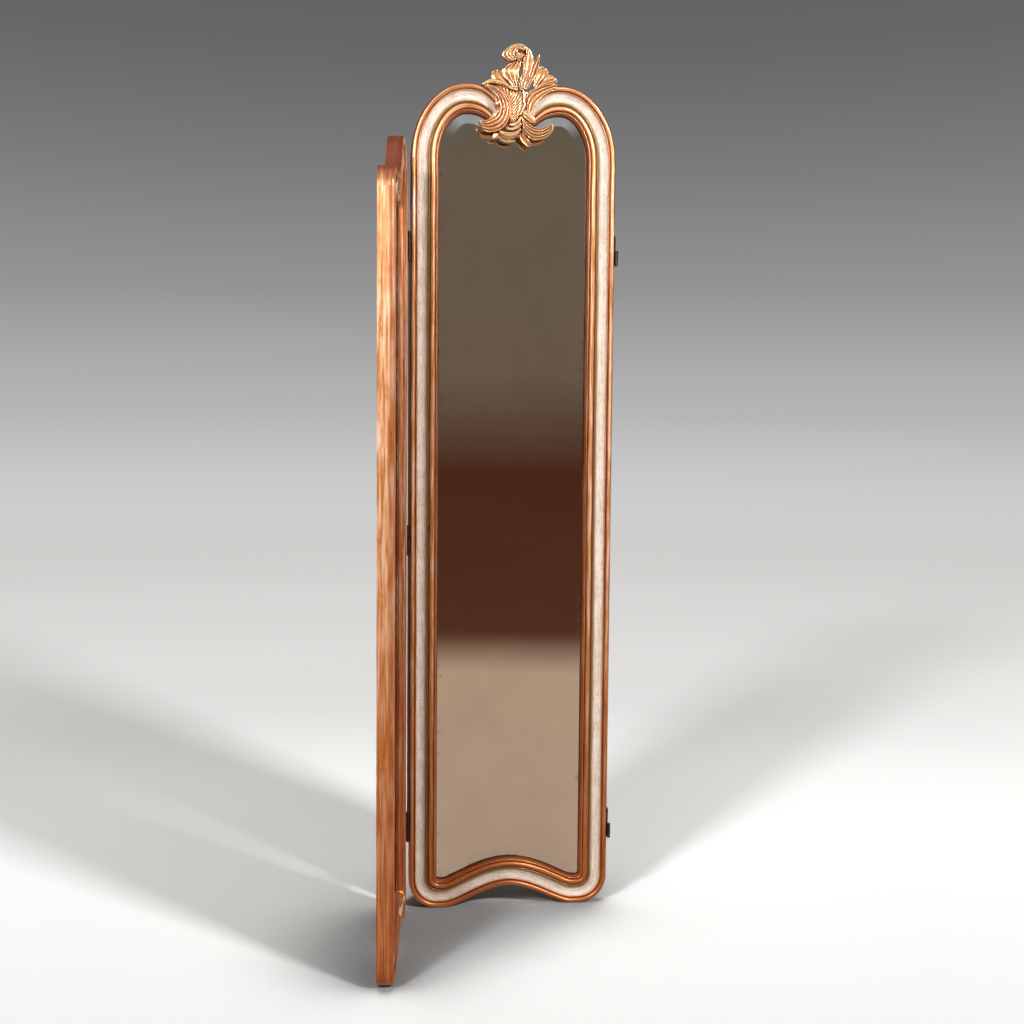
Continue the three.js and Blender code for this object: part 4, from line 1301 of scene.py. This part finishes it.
def soft_light(name, place, target, size, watts, colour=(1.0, 1.0, 1.0)):
    lamp = bpy.data.lights.new(name, "AREA")
    lamp.shape = "RECTANGLE"
    lamp.size, lamp.size_y = size
    lamp.energy = watts
    lamp.color = colour
    ob = bpy.data.objects.new(name, lamp)
    bpy.context.scene.collection.objects.link(ob)
    ob.location = Vector((CENTRE_X, FRONT_Y, 0)) + Vector(place)
    ob.light_linking.receiver_collection = no_mirrors
    aim = Vector((CENTRE_X, FRONT_Y, 0)) + Vector(target) - ob.location
    ob.rotation_euler = aim.to_track_quat("-Z", "Y").to_euler()
    return ob


KEY_LEFT, KEY_RIGHT = (-2.1, -3.1, 3.0), (2.1, -3.1, 3.0)
KEY_AIM, KEY_SIZE, KEY_WARM = (0.0, 0.0, 1.3), (0.6, 0.6), (1.0, 0.96, 0.92)
soft_light("key_left", KEY_LEFT, KEY_AIM, KEY_SIZE, 98, KEY_WARM)
soft_light("key_right", KEY_RIGHT, KEY_AIM, KEY_SIZE, 165, KEY_WARM)
soft_light("front_fill", (-1.35, -3.2, 2.1), (0.0, 0.0, 1.4), (0.7, 0.7), 16, (1.0, 0.95, 0.88))
soft_light("top_fill", (0.0, -0.6, 4.2), (0.0, 0.0, 0.0), (3.0, 3.0), 16)
# two more lamps beside the keys light the floor alone, so that its shadows are plain to see
for side, place in (("left", KEY_LEFT), ("right", KEY_RIGHT)):
    lamp = soft_light(f"floor_{side}", place, (0.0, 0.6, 0.0), (0.5, 0.5), 125)
    lamp.light_linking.receiver_collection = stage_only

# what the gilding and the mirrors reflect: a plain dim room, olive-brown above and sand below
world = bpy.data.worlds.new("plain_room")
bpy.context.scene.world = world
world.use_nodes = True
room = world.node_tree
sky = room.nodes["Background"]
spread = room.nodes.new("ShaderNodeTexCoord")
part = room.nodes.new("ShaderNodeSeparateXYZ")
room.links.new(spread.outputs["Generated"], part.inputs[0])
scale = room.nodes.new("ShaderNodeMapRange")
room.links.new(part.outputs[2], scale.inputs[0])
scale.inputs[1].default_value, scale.inputs[2].default_value = -0.5, 0.5
tones = room.nodes.new("ShaderNodeValToRGB")
room.links.new(scale.outputs[0], tones.inputs[0])
ROOM_TONES = [(0.0, (0.44, 0.33, 0.25)), (0.313, (0.50, 0.35, 0.24)), (0.338, (0.10, 0.035, 0.018)),
              (0.45, (0.075, 0.024, 0.012)), (0.52, (0.16, 0.115, 0.08)), (0.74, (0.15, 0.12, 0.09)),
              (0.83, (0.40, 0.41, 0.43)), (0.90, (0.20, 0.18, 0.16)), (1.0, (0.16, 0.14, 0.12))]
set_stops(tones.color_ramp, ROOM_TONES)
room.links.new(tones.outputs[0], sky.inputs[0])
sky.inputs[1].default_value = 1.0
bpy.context.scene.view_settings.view_transform = "Standard"

# ------------------------------------------------------------------ bounds of the shown parts
low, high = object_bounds()
